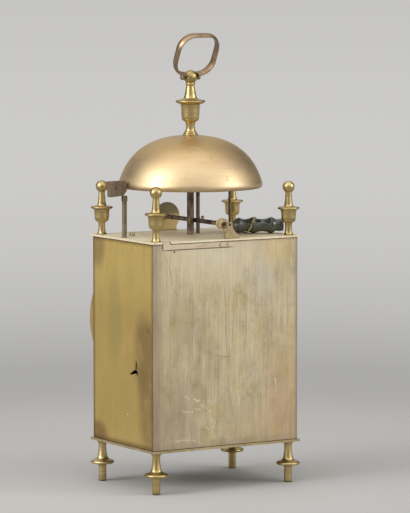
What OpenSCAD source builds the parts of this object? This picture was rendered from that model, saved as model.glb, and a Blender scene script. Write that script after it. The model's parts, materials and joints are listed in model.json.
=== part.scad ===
// Portable alarm clock in a brass case with a bell, a carrying ring and turned feet.
// Z is up, the feet stand at Z = 0, the dial faces -Y and the back door faces +Y.

/* [Case] */
// Width over the two side doors
case_w = 113; // [110:0.5:120]
// Depth over the front panel and the back door
case_d = 80; // [79:0.5:90]
// Height of the panels between the two plates
case_h = 136.5; // [135:0.5:150]
// Thickness of the brass sheet of the panels and doors
sheet_t = 1; // [0.8:0.1:1.2]
// Thickness of the bottom plate
base_t = 1.6; // [1.2:0.1:2.4]
// Thickness of the top plate
deck_t = 1.2; // [1:0.1:1.6]
// How far both plates stand out past the panels
plate_over = 1; // [0.9:0.1:1.5]
// Distance of the corner axes in from the outer faces
corner_in = 4.7; // [4.5:0.1:5.2]
// Diameter of the corner posts
post_dia = 6; // [5:0.1:6.2]

/* [Feet and finials] */
// Height of the feet under the bottom plate
foot_h = 27.9; // [25:0.1:32]
// Diameter of a foot's disc
foot_disc_dia = 16; // [14:0.5:18]
// Diameter of a foot's stem
foot_stem_dia = 5.2; // [4.6:0.1:6]
// Height of the corner finials over the top plate
finial_h = 36.3; // [33:0.1:40]
// Diameter of a corner finial's rim
finial_rim_dia = 14.9; // [13:0.1:16]
// Diameter of a corner finial's ball
finial_ball_dia = 8.2; // [6.5:0.1:9]
// Diameter of the spigots that hold feet and finials
spigot_dia = 3; // [2.6:0.1:3.4]

/* [Bell] */
// Diameter of the bell at its rim
bell_dia = 97; // [94:0.5:97.5]
// Height of the bell
bell_h = 32.8; // [30:0.2:36]
// Wall of the bell
bell_wall = 1.8; // [1.4:0.1:2.2]
// Height of the bell's rim over the top plate
bell_up = 34; // [33:0.2:38]
// Sideways place of the bell's post
post_x = 1.8; // [1:0.1:2.4]
// Place of the bell's post from front to back
post_y = -3; // [-3.6:0.1:-2.6]
// Diameter of the bell's post
bell_post_dia = 4.7; // [4.2:0.1:5]

/* [Top finial and carrying ring] */
// Height of the carrying ring's pivot over the bell
pivot_up = 38.8; // [37:0.2:42]
// Diameter of the top finial's rim
top_rim_dia = 20.1; // [18:0.1:21]
// Diameter of the pierced ball
top_ball_dia = 9.3; // [8.2:0.1:9.6]
// Width of the carrying ring
ring_w = 32; // [28:0.1:34]
// Length of the carrying ring from its pivot
ring_len = 32.5; // [30:0.1:36]
// Width of the ring's strip
ring_strip_w = 5.4; // [4:0.1:6]
// Thickness of the ring's strip
ring_strip_t = 1.8; // [1.3:0.1:2.2]
// Lean of the ring towards the back
ring_lean = 26; // [0:1:45]

/* [Doors] */
// Diameter of the doors' hinge pins
pin_dia = 1.5; // [1.2:0.1:1.6]
// Length of the hinge pins inside a door
pin_depth = 6; // [4:0.5:10]
// Width of the spring catch on the back door
catch_w = 3.4; // [3:0.1:4]
// Thickness of the spring catch
catch_t = 0.6; // [0.5:0.1:0.7]

/* [Dial] */
// Distance of the dial's centre under the top plate
dial_drop = 56.3; // [55.9:0.1:56.9]
// Distance of the bezel in from the case's sides
bezel_in = 3; // [2.5:0.5:3.5]
// Width of the bezel's ring outside the dial
bezel_ring = 7; // [7:0.5:7.5]
// How far the bezel stands out from the front panel
bezel_h = 10.4; // [9.5:0.1:10.5]
// Length of the minute hand
minute_len = 38; // [34:0.5:41]
// Length of the hour hand
hour_len = 25; // [22:0.5:30]
// Diameter of the alarm disc
alarm_disc_dia = 26; // [22:0.5:30]

/* [Movement] */
// Distance between the two movement plates
plates_gap = 36; // [36:0.2:37]
// Thickness of the movement plates
plate_t = 2; // [1.8:0.1:2.2]
// Diameter of the movement pillars
pillar_dia = 5.2; // [4.6:0.1:5.6]
// Module of the great wheels' teeth
great_m = 0.7; // [0.69:0.005:0.7]
// Length of the pendulum from its pivot to the bob's middle
pendulum_len = 70; // [60:1:85]
// Diameter of the pendulum's bob
bob_dia = 26; // [20:0.5:30]

/* [Hammers and pull repeat] */
// Diameter of the outer hammer's stem
hammer_stem_dia = 3.2; // [2.8:0.1:3.3]
// Width of the outer hammer's head
head_w = 12.1; // [11:0.1:13]
// Height of the outer hammer's head
head_h = 10.4; // [9:0.1:11]
// Diameter of the inner hammer's stem
thin_stem_dia = 1.6; // [1.4:0.1:1.9]
// Diameter of the pull arbor
pull_dia = 3; // [2.6:0.1:3]
// Height of the pull arbor over the top plate
pull_up = 9.3; // [9.1:0.1:10.2]
// Diameter of the cord
cord_dia = 1; // [0.9:0.05:1]
// Length of the toggle
toggle_len = 36; // [34:0.5:37]
// Largest diameter of the toggle
toggle_dia = 11.2; // [10.6:0.1:11.2]

/* [Hidden] */
$fn = 48;

brass = "#b8a063";
pale_brass = "#bcb290";
old_steel = "#4a423b";
enamel = "#f2efe6";
horn = "#2e332d";

// Clearances
fit = 0.05;
loose = 0.1;
gap = 0.3;

// Levels
base_z = foot_h + base_t;
top_z = base_z + case_h;
deck_z = top_z + deck_t;
door_z0 = base_z + gap;
door_z1 = top_z - gap;
half_w = case_w / 2;
half_d = case_d / 2;
corner_x = half_w - corner_in;
corner_y = half_d - corner_in;
dial_z = top_z - dial_drop;
bezel_dia = case_w - 2 * bezel_in;
dial_dia = bezel_dia - 2 * bezel_ring;
front_y = -half_d;
panel_in_y = front_y + sheet_t;
corners = [for (x = [-1, 1], y = [-1, 1]) [x * corner_x, y * corner_y]];

// Hinges of the doors
knuckle_r = pin_dia / 2 + 0.5;
hinge_x = half_w - knuckle_r - fit;
hinge_y = half_d - knuckle_r - fit;

// Bell
rim_z = deck_z + bell_up;
bell_top_z = rim_z + bell_h;
bell_in_z = bell_top_z - bell_wall;
washer_t = 1;
finial_z = bell_top_z + washer_t;
pivot_z = bell_top_z + pivot_up;
bell_screw_r = bell_post_dia / 2 - 0.75;
post_screw_up = 7;

// Hammers
hammer_x = half_w - 4.5;
hammer_y = -5;
hammer_z = deck_z - 9.2;
hammer_arbor_r = 1.2;
head_x0 = post_x + bell_dia / 2 + 0.9;
head_z0 = rim_z - 6.7;
repeat_x = -30.5;
verge_x = -7.9;
verge_r = 1.3;
slot_in = 8.5;
head_back = 3;
bell_lip = 2.3;

// Movement
panel_gap = 11;
front_in_y = panel_in_y + panel_gap;
verge_y = front_in_y + 18.8;
front_out_y = front_in_y - plate_t;
back_in_y = front_in_y + plates_gap;
back_out_y = back_in_y + plate_t;
plate_half_w = half_w - 9.5;
plate_low = -43.7;
plate_high = 54.8;
pillar_x = plate_half_w - 3.5;
pillar_low = plate_low + 4;
pillar_high = plate_high - 3.5;
mount_x = 34;
mount_z = 36;
mount_r = 2.5;

// A pressure angle of 20 degrees, with short, thin teeth
function involute(a) = tan(a) * 180 / PI - a;
function half_tooth(n, rp, r) =
    let (rb = rp * cos(20), at = acos(min(1, rb / max(r, rb))))
    0.41 * 180 / n + involute(20) - involute(at);
function flank(n, m) =
    let (rp = n * m / 2)
    [for (r = [rp - 1.1 * m, rp, rp + 0.75 * m]) [r, half_tooth(n, rp, r)]];
function at(r, a) = [r * cos(a), r * sin(a)];
function gear_points(n, m) =
    let (f = flank(n, m))
    [for (i = [0 : n - 1]) let (a = i * 360 / n)
        each concat([for (p = f) at(p[0], a - p[1])],
                    [for (k = [2 : -1 : 0]) at(f[k][0], a + f[k][1])])];
function mesh_phase(toward, phase, n, mates) =
    toward + 180 + 180 / mates - (phase - toward) * n / mates;
function polar(from, angle, r) = from + at(r, angle);
function mesh_r(n1, n2, m) = (n1 + n2) * m / 2;

// Teeth
great_n = 60;
pinion_n = 10;
centre_n = 60;
centre_m = 0.6;
third_n = 60;
third_m = 0.45;
cannon_n = 12;
minute_n = 36;
motion_m = 0.5;
minute_pinion_n = 9;
hour_n = 36;
hour_m = motion_m * (cannon_n + minute_n) / (minute_pinion_n + hour_n);
pin_n = 54;
pin_m = 0.5;
warning_n = 48;
warning_m = 0.45;
fly_n = 8;
alarm_n = 70;
alarm_m = 0.5;

// Places of the arbors, as seen from the front: X to the right, Z up
centre = [0, dial_z];
barrel_r = mesh_r(great_n, pinion_n, great_m);
barrel_a = 26.2;
going_at = polar(centre, 180 + barrel_a, barrel_r);
strike_at = polar(centre, -barrel_a, barrel_r);
third_a = 110;
third_at = polar(centre, third_a, mesh_r(centre_n, pinion_n, centre_m));
escape_r = mesh_r(third_n, pinion_n, third_m);
escape_a = acos(-third_at[0] / escape_r);
escape_at = polar(third_at, escape_a, escape_r);
anchor_at = escape_at + [0, 13];
minute_a = -60;
minute_at = polar(centre, minute_a, mesh_r(cannon_n, minute_n, motion_m));
pin_a = 63;
pin_at = polar(strike_at, pin_a, barrel_r);
warning_a = 124;
warning_at = polar(pin_at, warning_a, mesh_r(pin_n, pinion_n, pin_m));
fly_a = 42;
fly_at = polar(warning_at, fly_a, mesh_r(warning_n, fly_n, warning_m));
crown_at = [verge_x, deck_z - 12.5];
crown_r = 6.2;
strap_y = verge_y - 8;
alarm_a = 203.6;
alarm_at = polar(crown_at, alarm_a, mesh_r(alarm_n, pinion_n, alarm_m));
pivot_r = 0.7;
barrel_arbor_r = 2.2;
centre_arbor_r = 1.4;
thin_arbor_r = 1;
square_w = 3;

// Hands at rest show about nine minutes past ten
minute_turn = 54;
hour_turn = 300 + minute_turn / 12;

// Layers from the front plate to the dial
cannon_y0 = front_out_y - 4.4;
cannon_y1 = front_out_y - 1;
hour_wheel_y0 = front_out_y - 6.8;
hour_wheel_y1 = front_out_y - 5.4;
dial_t = 1.2;
dial_dome = 1.2;
dial_front_y = front_y - dial_t - dial_dome;
disc_y = dial_front_y - gap - 0.5;
hour_hand_y = disc_y - gap - 0.7;
minute_hand_y = hour_hand_y - gap - 0.7;
cannon_r = 2.3;
hour_pipe_r = 3.3;
disc_pipe_r = 4;

// Pull arbor, cord and toggle
pull_x = -2.3;
pull_z = deck_z + pull_up;
pull_pivot_r = 0.9;
pull_neck_r = 1.2;
cock_t = 1.3;
bracket_y = half_d - 1.1;
pull_neck_y = bracket_y - 11.3;
wind_r1 = pull_neck_r + gap + cord_dia / 2;
wind_r2 = wind_r1 + cord_dia + 0.25;
wind_pitch = cord_dia + 0.2;
wind_turns = 4;
wind_back = 3.125;
wind_y = bracket_y - 5.5;
toggle_at = [-39.9, 14.5];
toggle_yaw = -28;
toggle_r = toggle_dia / 2;
toggle_z = deck_z + toggle_r;

// Holders and small shapes
module front_to_back(y0, y1) {
    translate([0, y1, 0]) rotate([90, 0, 0]) linear_extrude(y1 - y0) children();
}

module rod(p, y0, y1, r) {
    translate([p[0], y1, p[1]]) rotate([90, 0, 0]) cylinder(h = y1 - y0, r = r);
}

module to_front(p, y) {
    translate([p[0], y, p[1]]) rotate([90, 0, 0]) children();
}

module at_corners() {
    for (c = corners) translate([c[0], c[1], 0]) children();
}

module toothed(n, m, bore) {
    difference() {
        polygon(gear_points(n, m));
        circle(r = (bore + 0.02) / cos(15), $fn = 12);
    }
}

function arc(r, a0, a1, steps) = [for (i = [0 : steps]) at(r, a0 + (a1 - a0) * i / steps)];
function window(r0, r1, arms, w) =
    let (a = 180 / arms, s0 = asin(w / r0), s1 = asin(w / r1))
    concat(arc(r1, -a + s1, a - s1, 6), arc(r0, a - s0, -a + s0, 3));

module crossed(n, m, bore, hub, arms) {
    difference() {
        toothed(n, m, bore);
        for (i = [0 : arms - 1]) rotate((i + 0.5) * 360 / arms)
            polygon(window(hub, n * m / 2 - 1.1 * m - 1.6, arms, 0.8));
    }
}

module gear(p, phase, y0, y1) {
    front_to_back(y0, y1) translate(p) rotate(phase) children();
}

// An arbor between the plates, with a pivot in each
module arbor(p, r, pivot = pivot_r) {
    rod(p, front_in_y + 0.15, back_in_y - 0.15, r);
    rod(p, front_out_y, back_out_y, pivot);
}

// Case
module bottom_plate() {
    color(brass) difference() {
        translate([-half_w - plate_over, -half_d - plate_over, foot_h])
            cube([case_w + 2 * plate_over, case_d + 2 * plate_over, base_t]);
        at_corners() translate([0, 0, foot_h - 1]) cylinder(h = base_t + 2, r = spigot_dia / 2 + fit);
        door_hinges() translate([0, 0, foot_h - 1]) cylinder(h = base_t + 2, r = pin_dia / 2 + 0.02);
    }
}

module door_hinges() {
    for (h = [[hinge_x, -hinge_y], [-hinge_x, -hinge_y], [-hinge_x, hinge_y]])
        translate([h[0], h[1], 0]) children();
}

module deck_slot(x0, x1, y, w) {
    translate([x0, y - w / 2, top_z - 1]) cube([x1 - x0, w, deck_t + 2]);
}

module top_plate() {
    notch_x = catch_x0 + catch_len - catch_lip;
    color(brass) difference() {
        translate([-half_w - plate_over, -half_d - plate_over, top_z])
            cube([case_w + 2 * plate_over, case_d + 2 * plate_over, deck_t]);
        at_corners() translate([0, 0, top_z - 1]) cylinder(h = deck_t + 2, r = spigot_dia / 2 + fit);
        door_hinges() translate([0, 0, top_z - 1]) cylinder(h = deck_t + 2, r = pin_dia / 2 + 0.02);
        translate([post_x, post_y, top_z - 1]) cylinder(h = deck_t + 2, r = bell_screw_r + fit);
        translate([verge_x, verge_y, top_z - 1]) cylinder(h = deck_t + 2, r = verge_r + fit);
        deck_slot(hammer_x - slot_in, hammer_x + hammer_stem_dia / 2 + 1.3, hammer_y, hammer_stem_dia + 0.8);
        deck_slot(repeat_x - 3, repeat_x + 3, hammer_y, thin_stem_dia + 0.8);
        translate([pull_x - 3, front_y - 1 - fit, top_z - 1]) cube([6, cock_t + 2 * fit, deck_t + 2]);
        translate([bracket_x0 + 3, bracket_y - fit, top_z - 1]) cube([5, cock_t + 2 * fit, deck_t + 2]);
        translate([notch_x - 0.5, half_d - 0.1, top_z - 1]) cube([catch_lip + 1, plate_over + 1, deck_t + 2]);
    }
}

module front_panel() {
    edge = half_w - 2 * knuckle_r - 0.4;
    color(brass) difference() {
        translate([-edge, front_y, base_z]) cube([2 * edge, sheet_t, case_h]);
        rod(centre, front_y - 1, panel_in_y + 1, 6);
        for (p = [going_at, strike_at]) rod(p, front_y - 1, panel_in_y + 1, 4);
        for (x = [-1, 1], z = [-1, 1])
            rod(centre + [x * mount_x, z * mount_z], front_y - 1, panel_in_y + 1, mount_r / 2 + fit);
    }
}

module corner_posts() {
    color(brass) at_corners() difference() {
        translate([0, 0, base_z]) cylinder(h = case_h, r = post_dia / 2);
        for (z = [base_z - 1, top_z - 8]) translate([0, 0, z]) cylinder(h = 9, r = spigot_dia / 2 + fit);
    }
}

// A turned foot, drawn from the floor up
module foot() {
    r = foot_stem_dia / 2;
    disc_r = foot_disc_dia / 2;
    d = foot_h - 16.6;
    color(brass) rotate_extrude() polygon(concat(
        [[0, 0], [r - 0.3, 0], [r, 0.4], [r, d], [disc_r - 2.4, d + 0.2]],
        [for (a = [-60 : 30 : 60]) [disc_r - 1.2 + 1.2 * cos(a), d + 1.7 + 1.4 * sin(a)]],
        [[disc_r - 3, d + 3.4], [r + 1.6, d + 3.7], [r + 0.9, d + 4.4], [r + 0.45, d + 6.2],
         [r + 0.1, d + 9], [r, d + 12], [r + 0.1, foot_h - 1.9], [r + 0.3, foot_h - 1.6],
         [r + 0.9, foot_h - 1.4], [r + 0.9, foot_h], [spigot_dia / 2, foot_h],
         [spigot_dia / 2, foot_h + base_t + 6], [0, foot_h + base_t + 6]]));
}

module feet() {
    at_corners() foot();
}

// A turned finial with a cup, a rim and a ball, drawn from its seat up
module finial() {
    ball_r = finial_ball_dia / 2;
    rim_r = finial_rim_dia / 2;
    ball_z = finial_h - ball_r;
    rim_h = finial_h - 17.8;
    color(brass) {
        rotate_extrude() polygon([
            [0, 0], [3, 0], [3, 0.6], [2.55, 1.3], [2.3, 3], [2.2, 5.5], [2.35, 7.6], [2.7, 8.6],
            [3.6, 9.2], [4.4, 9.9], [4.8, 11], [5, 13], [5.4, rim_h - 1.6], [rim_r - 1, rim_h - 0.9],
            [rim_r, rim_h - 0.3], [rim_r - 0.2, rim_h + 0.1], [3.4, rim_h + 0.6], [2.85, rim_h + 1.1],
            [2.6, rim_h + 3], [2.2, rim_h + 6.5], [1.6, rim_h + 9.4], [1.55, ball_z - ball_r + 0.7],
            [1.5, ball_z], [0, ball_z]
        ]);
        translate([0, 0, ball_z]) sphere(r = ball_r);
        translate([0, 0, -deck_t - 6]) cylinder(h = deck_t + 7, r = spigot_dia / 2);
    }
}

module finials() {
    at_corners() translate([0, 0, deck_z]) finial();
}

// Doors: a sheet with a bored knuckle along its hinge edge
module knuckle() {
    difference() {
        translate([0, 0, door_z0]) cylinder(h = door_z1 - door_z0, r = knuckle_r);
        for (z = [door_z0 - 1, door_z1 - pin_depth])
            translate([0, 0, z]) cylinder(h = pin_depth + 1, r = pin_dia / 2 + fit);
    }
}

module door_pins() {
    color(old_steel) door_hinges() {
        translate([0, 0, foot_h]) cylinder(h = door_z0 + pin_depth - 0.5 - foot_h, r = pin_dia / 2);
        translate([0, 0, door_z1 - pin_depth + 0.5])
            cylinder(h = deck_z - door_z1 + pin_depth - 0.5, r = pin_dia / 2);
    }
}

module back_door() {
    color(pale_brass) {
        difference() {
            translate([-hinge_x, half_d - sheet_t, door_z0])
                cube([hinge_x + half_w, sheet_t, door_z1 - door_z0]);
            translate([-hinge_x, hinge_y, door_z0 - 1]) cylinder(h = case_h + 2, r = knuckle_r - 0.1);
            for (x = rivet_x) rod([x, catch_z], half_d - sheet_t - 1, half_d + 1, 0.5 + fit);
            rod([40.7, door_z1 - 5.2], half_d - sheet_t - 1, half_d + 1, 0.4);
        }
        translate([-hinge_x, hinge_y, 0]) knuckle();
    }
}

// Spring catch on the outside of the back door
catch_x0 = -6.7;
catch_len = 56.2;
catch_lip = 5.3;
catch_z = door_z1 - 1.9;
catch_y = half_d + 0.1;
rivet_x = [4.7, -1];

module back_catch() {
    top = catch_z + catch_w / 2;
    end = catch_x0 + catch_len;
    color(pale_brass) difference() {
        front_to_back(catch_y, catch_y + catch_t) polygon([
            [catch_x0, catch_z], [catch_x0 + 3, top - catch_w], [end, top - catch_w],
            [end, deck_z + 0.7], [end - catch_lip + 1.2, deck_z + 0.7],
            [end - catch_lip, top], [catch_x0 + 3, top]
        ]);
        rod([rivet_x[0], catch_z], half_d - 1, half_d + 2, 0.5 + fit);
        rod([rivet_x[1], catch_z], half_d - 1, half_d + 2, 0.9);
    }
}

module catch_rivets() {
    color(brass) for (x = rivet_x) {
        rod([x, catch_z], half_d - sheet_t, catch_y + catch_t + 0.15, 0.5);
        rod([x, catch_z], catch_y + catch_t + 0.1, catch_y + catch_t + 0.6, 1.2);
    }
}

// Side doors, drawn for the right side and mirrored for the left
star_up = 51;
star_at = [17.6, base_z + star_up];

module side_door(y_end, holed) {
    difference() {
        translate([half_w - sheet_t, -hinge_y, door_z0])
            cube([sheet_t, y_end + hinge_y, door_z1 - door_z0]);
        translate([hinge_x, -hinge_y, door_z0 - 1]) cylinder(h = case_h + 2, r = knuckle_r - 0.1);
        if (holed) translate([half_w - sheet_t - 1, star_at[0], star_at[1]])
            rotate([90, 0, 90]) linear_extrude(sheet_t + 2) star();
    }
    translate([hinge_x, -hinge_y, 0]) knuckle();
}

// Three slits that meet at the middle
module star() {
    polygon([[-0.5, 6.3], [0.6, 6.3], [1.1, 0.8], [2.3, -2.4], [0.9, -3.1], [-0.4, -1.6],
             [-7.3, -3.4], [-7.9, -2.2], [-1.1, 0.9]]);
}

module right_door() {
    color(brass) side_door(half_d - sheet_t - gap, true);
}

module left_door() {
    color(brass) mirror([1, 0, 0]) side_door(half_d - 2 * knuckle_r - 0.6, false);
}

// A spring strip riveted inside each side door that grips the corner post
module side_catch(z) {
    x = half_w - sheet_t - 0.7;
    translate([x, 11, z - 2]) cube([0.6, corner_y - post_dia / 2 - 11.3, 4]);
    translate([x - 0.3, 15, z]) rotate([0, 90, 0]) cylinder(h = 1, r = 1);
    for (y = [13, 25]) translate([x - 0.4, y, z]) rotate([0, 90, 0]) cylinder(h = 0.5, r = 1.1);
}

module side_catches_right() {
    color(pale_brass) side_catch(star_at[1] + 2);
}

module side_catches_left() {
    color(pale_brass) mirror([1, 0, 0]) side_catch(star_at[1] + 2);
}

// Bell, post and finial on one axis
function bezier(p, t) =
    pow(1 - t, 3) * p[0] + 3 * pow(1 - t, 2) * t * p[1] + 3 * (1 - t) * t * t * p[2] + pow(t, 3) * p[3];
function bell_curve(r, h, flat) =
    let (p = [[r, 0], [r - 7.2, 27 * h / 33], [20, h], [0, h]])
    [for (i = [0 : 20]) let (q = bezier(p, i / 20)) if (q[0] > flat) q];

module on_post(z) {
    translate([post_x, post_y, z]) children();
}

module bell() {
    r = bell_dia / 2;
    hole = bell_screw_r + fit;
    outer = bell_curve(r, bell_h, 5.6);
    inner = bell_curve(r - bell_wall, bell_h - bell_wall, 4.4);
    lip = [for (a = [30 : 20 : 150]) [r - 1.5 + 0.8 * cos(a), 0.8 - bell_lip - 0.8 * sin(a)]];
    color(brass) on_post(rim_z) rotate_extrude() polygon(concat(
        [for (i = [len(lip) - 1 : -1 : 0]) lip[i]], [[r - 0.3, -bell_lip / 2]], outer,
        [[5.2, bell_h], [hole, bell_h], [hole, bell_h - bell_wall], [4.2, bell_h - bell_wall]],
        [for (i = [len(inner) - 1 : -1 : 0]) inner[i]], [[r - bell_wall - 0.3, -bell_lip / 2]]));
}

module bell_post() {
    r = bell_post_dia / 2;
    color(old_steel) on_post(0) {
        translate([0, 0, top_z - 5]) cylinder(h = 6, r = bell_screw_r);
        translate([0, 0, deck_z]) cylinder(h = bell_in_z - deck_z, r = r);
        translate([0, 0, bell_in_z - 1])
            cylinder(h = finial_z + post_screw_up - bell_in_z + 1, r = bell_screw_r);
        translate([0, 0, top_z - 3]) cylinder(h = 3, r = 3.6, $fn = 6);
    }
}

module bell_washer() {
    color(brass) on_post(bell_top_z) rotate_extrude() polygon([
        [bell_screw_r + fit, 0], [5.2, 0], [5.2, 0.4], [4.6, washer_t], [bell_screw_r + fit, washer_t]]);
}

module top_finial() {
    ball_r = top_ball_dia / 2;
    rim_r = top_rim_dia / 2;
    up = pivot_z - finial_z;
    rim_h = up - 15.8;
    bore_r = bell_screw_r + fit;
    color(brass) on_post(finial_z) difference() {
        union() {
            rotate_extrude() polygon([
                [0, 0], [4.5, 0], [4.5, 0.8], [3.5, 1.7], [3.1, 3.4], [3.2, 6.4], [3.6, 8.2],
                [5.4, 8.9], [6, 10.4], [6.1, 13], [6.5, rim_h - 2.6], [rim_r - 2.4, rim_h - 1.5],
                [rim_r, rim_h - 0.3], [rim_r - 0.4, rim_h + 0.2], [5.2, rim_h + 1.3], [4.4, rim_h + 1.9],
                [3.6, rim_h + 4.4], [2.8, rim_h + 9.6], [2.8, rim_h + 10.4], [3.1, rim_h + 10.7],
                [3.1, rim_h + 11.5], [2.6, rim_h + 11.9], [2.6, up], [0, up]
            ]);
            translate([0, 0, up]) sphere(r = ball_r);
        }
        translate([0, 0, -1]) cylinder(h = post_screw_up + 2, r = bore_r);
        translate([-10, 0, up]) rotate([0, 90, 0]) cylinder(h = 20, r = ring_pin_r + fit);
    }
}

// Carrying ring: a strip bent to a loop, its ends joined by the pivot pin
ring_pin_r = 1.1;
ring_boss_r = 1.9;
ring_corner_r = 11.5;
ring_bar_z = 1.1;

module loop_outline(inset) {
    w = ring_w - 2 * inset;
    low = ring_bar_z + inset;
    l = ring_len - ring_bar_z - 2 * inset;
    r = ring_corner_r - inset;
    for (s = [-1, 1], t = [0, 1])
        translate([s * (w / 2 - r), low + r + t * (l - 2 * r)]) circle(r = r);
    translate([-w / 2 + r, low]) square([w - 2 * r, l]);
    translate([-w / 2, low + r]) square([w, l - 2 * r]);
}

module carrying_ring() {
    inner = top_ball_dia / 2 + gap;
    color(brass) on_post(pivot_z) rotate([-ring_lean, 0, 0]) {
        translate([0, ring_strip_w / 2, 0]) rotate([90, 0, 0]) linear_extrude(ring_strip_w)
            difference() {
                loop_outline(0);
                loop_outline(ring_strip_t);
                translate([-inner, -1]) square([2 * inner, 6]);
            }
        for (s = [0, 180]) rotate([0, 0, s]) translate([inner, 0, 0]) rotate([0, 90, 0])
            cylinder(h = 2.4, r = ring_boss_r);
        rotate([0, 90, 0]) translate([0, 0, -inner - 1]) cylinder(h = 2 * inner + 2, r = ring_pin_r);
    }
}

// Front panel fittings: bezel on its hinge, glass, dial and hands
bezel_hinge_x = -(half_w - 1.5);
bezel_hinge_y = front_y - 1.9;
bezel_pin_r = 0.7;
bezel_knuckle_r = 1.3;

module bezel() {
    r = bezel_dia / 2;
    seat = dial_dia / 2 + 0.4;
    h = bezel_h;
    color(brass) {
        difference() {
            union() {
                to_front(centre, front_y) rotate_extrude($fn = 96) polygon([
                    [seat, 0.3], [r, 0.3], [r, 1.8], [r - 0.6, 2.4], [r - 0.6, 3.4], [r, 4], [r, h - 1.6],
                    [r - 0.6, h - 0.5], [r - 1.8, h], [seat - 0.8, h - 0.2], [seat - 2.4, h - 1],
                    [seat - 2.4, h - 1.6], [seat, h - 1.6]
                ]);
                translate([bezel_hinge_x, bezel_hinge_y, dial_z - 3.5]) cylinder(h = 7, r = bezel_knuckle_r);
                translate([bezel_hinge_x, bezel_hinge_y - 0.7, dial_z - 3.5]) cube([3, 1.4, 7]);
            }
            translate([bezel_hinge_x, bezel_hinge_y, dial_z - 5]) cylinder(h = 10, r = bezel_pin_r + fit);
        }
        knob = centre + at(r - 2.6, -25);
        to_front(knob, front_y - h + 0.3) cylinder(h = 1.6, r = 0.9);
        to_front(knob, front_y - h - 0.8) cylinder(h = 1.2, r = 1.6);
    }
}

module bezel_lugs() {
    color(brass) for (z = [dial_z - 9, dial_z + 4]) difference() {
        union() {
            translate([bezel_hinge_x, bezel_hinge_y, z]) cylinder(h = 5, r = bezel_knuckle_r);
            translate([bezel_hinge_x, bezel_hinge_y - 0.6, z]) cube([0.9, -bezel_hinge_y + front_y + 0.6, 5]);
            translate([bezel_hinge_x + 2.2, front_y - 0.25, z]) cube([1, 0.2, 5]);
        }
        translate([bezel_hinge_x, bezel_hinge_y, z - 1]) cylinder(h = 7, r = bezel_pin_r);
    }
}

module glass() {
    r = dial_dia / 2 - 2.4;
    edge = dial_dia / 2 + 0.2;
    h = bezel_h - 1.7;
    rise = 4.2;
    color("#cfd8d8", 0.35) to_front(centre, front_y) rotate_extrude($fn = 96) polygon(concat(
        [for (i = [0 : 8]) [r * i / 8, h + rise * (1 - pow(i / 8, 2))]],
        [[edge, h], [edge, h - 0.9]],
        [for (i = [8 : -1 : 0]) [r * i / 8, h - 0.9 + rise * (1 - pow(i / 8, 2))]]));
}

module dial() {
    r = dial_dia / 2;
    color(enamel) difference() {
        to_front(centre, front_y) rotate_extrude($fn = 96) polygon(concat(
            [[0, 0], [r - 0.3, 0], [r, 0.3]],
            [for (i = [8 : -1 : 0]) [r * i / 8, dial_t + dial_dome * (1 - pow(i / 8, 2)) - (i == 8 ? 0.3 : 0)]]));
        rod(centre, dial_front_y - 1, front_y + 1, disc_pipe_r + fit);
        for (p = [going_at, strike_at]) rod(p, dial_front_y - 1, front_y + 1, 3.2);
    }
}

module hand(len, w, boss, ring) {
    difference() {
        union() {
            circle(r = boss);
            polygon([[-w, 0], [-w * 0.6, len * 0.72], [0, len], [w * 0.6, len * 0.72], [w, 0]]);
            translate([0, len * 0.7]) circle(r = ring);
            polygon([[-w * 0.7, 0], [-w * 0.4, -len * 0.2], [w * 0.4, -len * 0.2], [w * 0.7, 0]]);
        }
        translate([0, len * 0.7 + ring * 0.15]) circle(r = ring * 0.55);
    }
}

module minute_hand() {
    color(old_steel) front_to_back(minute_hand_y, minute_hand_y + 0.6) translate(centre)
        rotate(-minute_turn) difference() {
            hand(minute_len, 1, 3.4, 2.2);
            circle(r = cannon_r + 0.02);
        }
}

module hour_hand() {
    color(old_steel) front_to_back(hour_hand_y, hour_hand_y + 0.6) translate(centre)
        rotate(-hour_turn) difference() {
            hand(hour_len, 1.3, 4.4, 2.8);
            circle(r = hour_pipe_r + 0.02);
        }
}

module alarm_disc() {
    color(brass) difference() {
        union() {
            rod(centre, disc_y, disc_y + 0.5, alarm_disc_dia / 2);
            rod(centre, disc_y, panel_in_y - 0.4 + gap, disc_pipe_r);
        }
        rod(centre, disc_y - 1, panel_in_y + 2, hour_pipe_r + fit);
    }
}

// Hammers
module strike_hammer() {
    r = hammer_stem_dia / 2;
    tail = at(13.4, 50);
    color(old_steel) {
        rod([hammer_x, hammer_z], hammer_cock_y[0] - 0.3, hammer_cock_y[1] + 1.8, hammer_arbor_r);
        translate([hammer_x, hammer_y, hammer_z]) {
            cylinder(h = head_z0 - hammer_z + 0.5, r = r);
            translate([0, 0, head_z0 - hammer_z - 3.2]) cylinder(h = 3.6, r = r + 0.4);
        }
        rod([hammer_x, hammer_z], hammer_y - 2, hammer_y + 2, 2.2);
        front_to_back(pin_wheel_y + 1.8, pin_wheel_y + 3.8) polygon([
            [hammer_x - 1.1, hammer_z + 0.4], [hammer_x + 1.1, hammer_z + 0.4],
            pin_at + tail + [1.8, 0], pin_at + tail]);
        difference() {
            front_to_back(hammer_y - head_back, hammer_y + 1.8) translate([head_x0, head_z0]) polygon([
                [2.6, 0.7], [head_w, 0], [head_w + 0.6, head_h], [0.9, head_h + 0.2],
                [0, head_h - 1.2], [0, 3.6]]);
            to_front([head_x0 + 8.4, head_z0 + 5.8], hammer_y + 2.2) cylinder(h = 0.8, r = 0.8);
        }
    }
}

module repeat_hammer() {
    color(old_steel) {
        rod([repeat_x, hammer_z], -9.4, -0.6, hammer_arbor_r);
        rod([repeat_x, hammer_z], hammer_y - 1.4, hammer_y + 1.4, 2);
        translate([repeat_x, hammer_y, hammer_z])
            cylinder(h = rim_z + 8 - hammer_z, r = thin_stem_dia / 2);
        translate([repeat_x - 5.4, hammer_y - 2, rim_z + 6]) cube([8, 4, 5.4]);
    }
}

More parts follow.
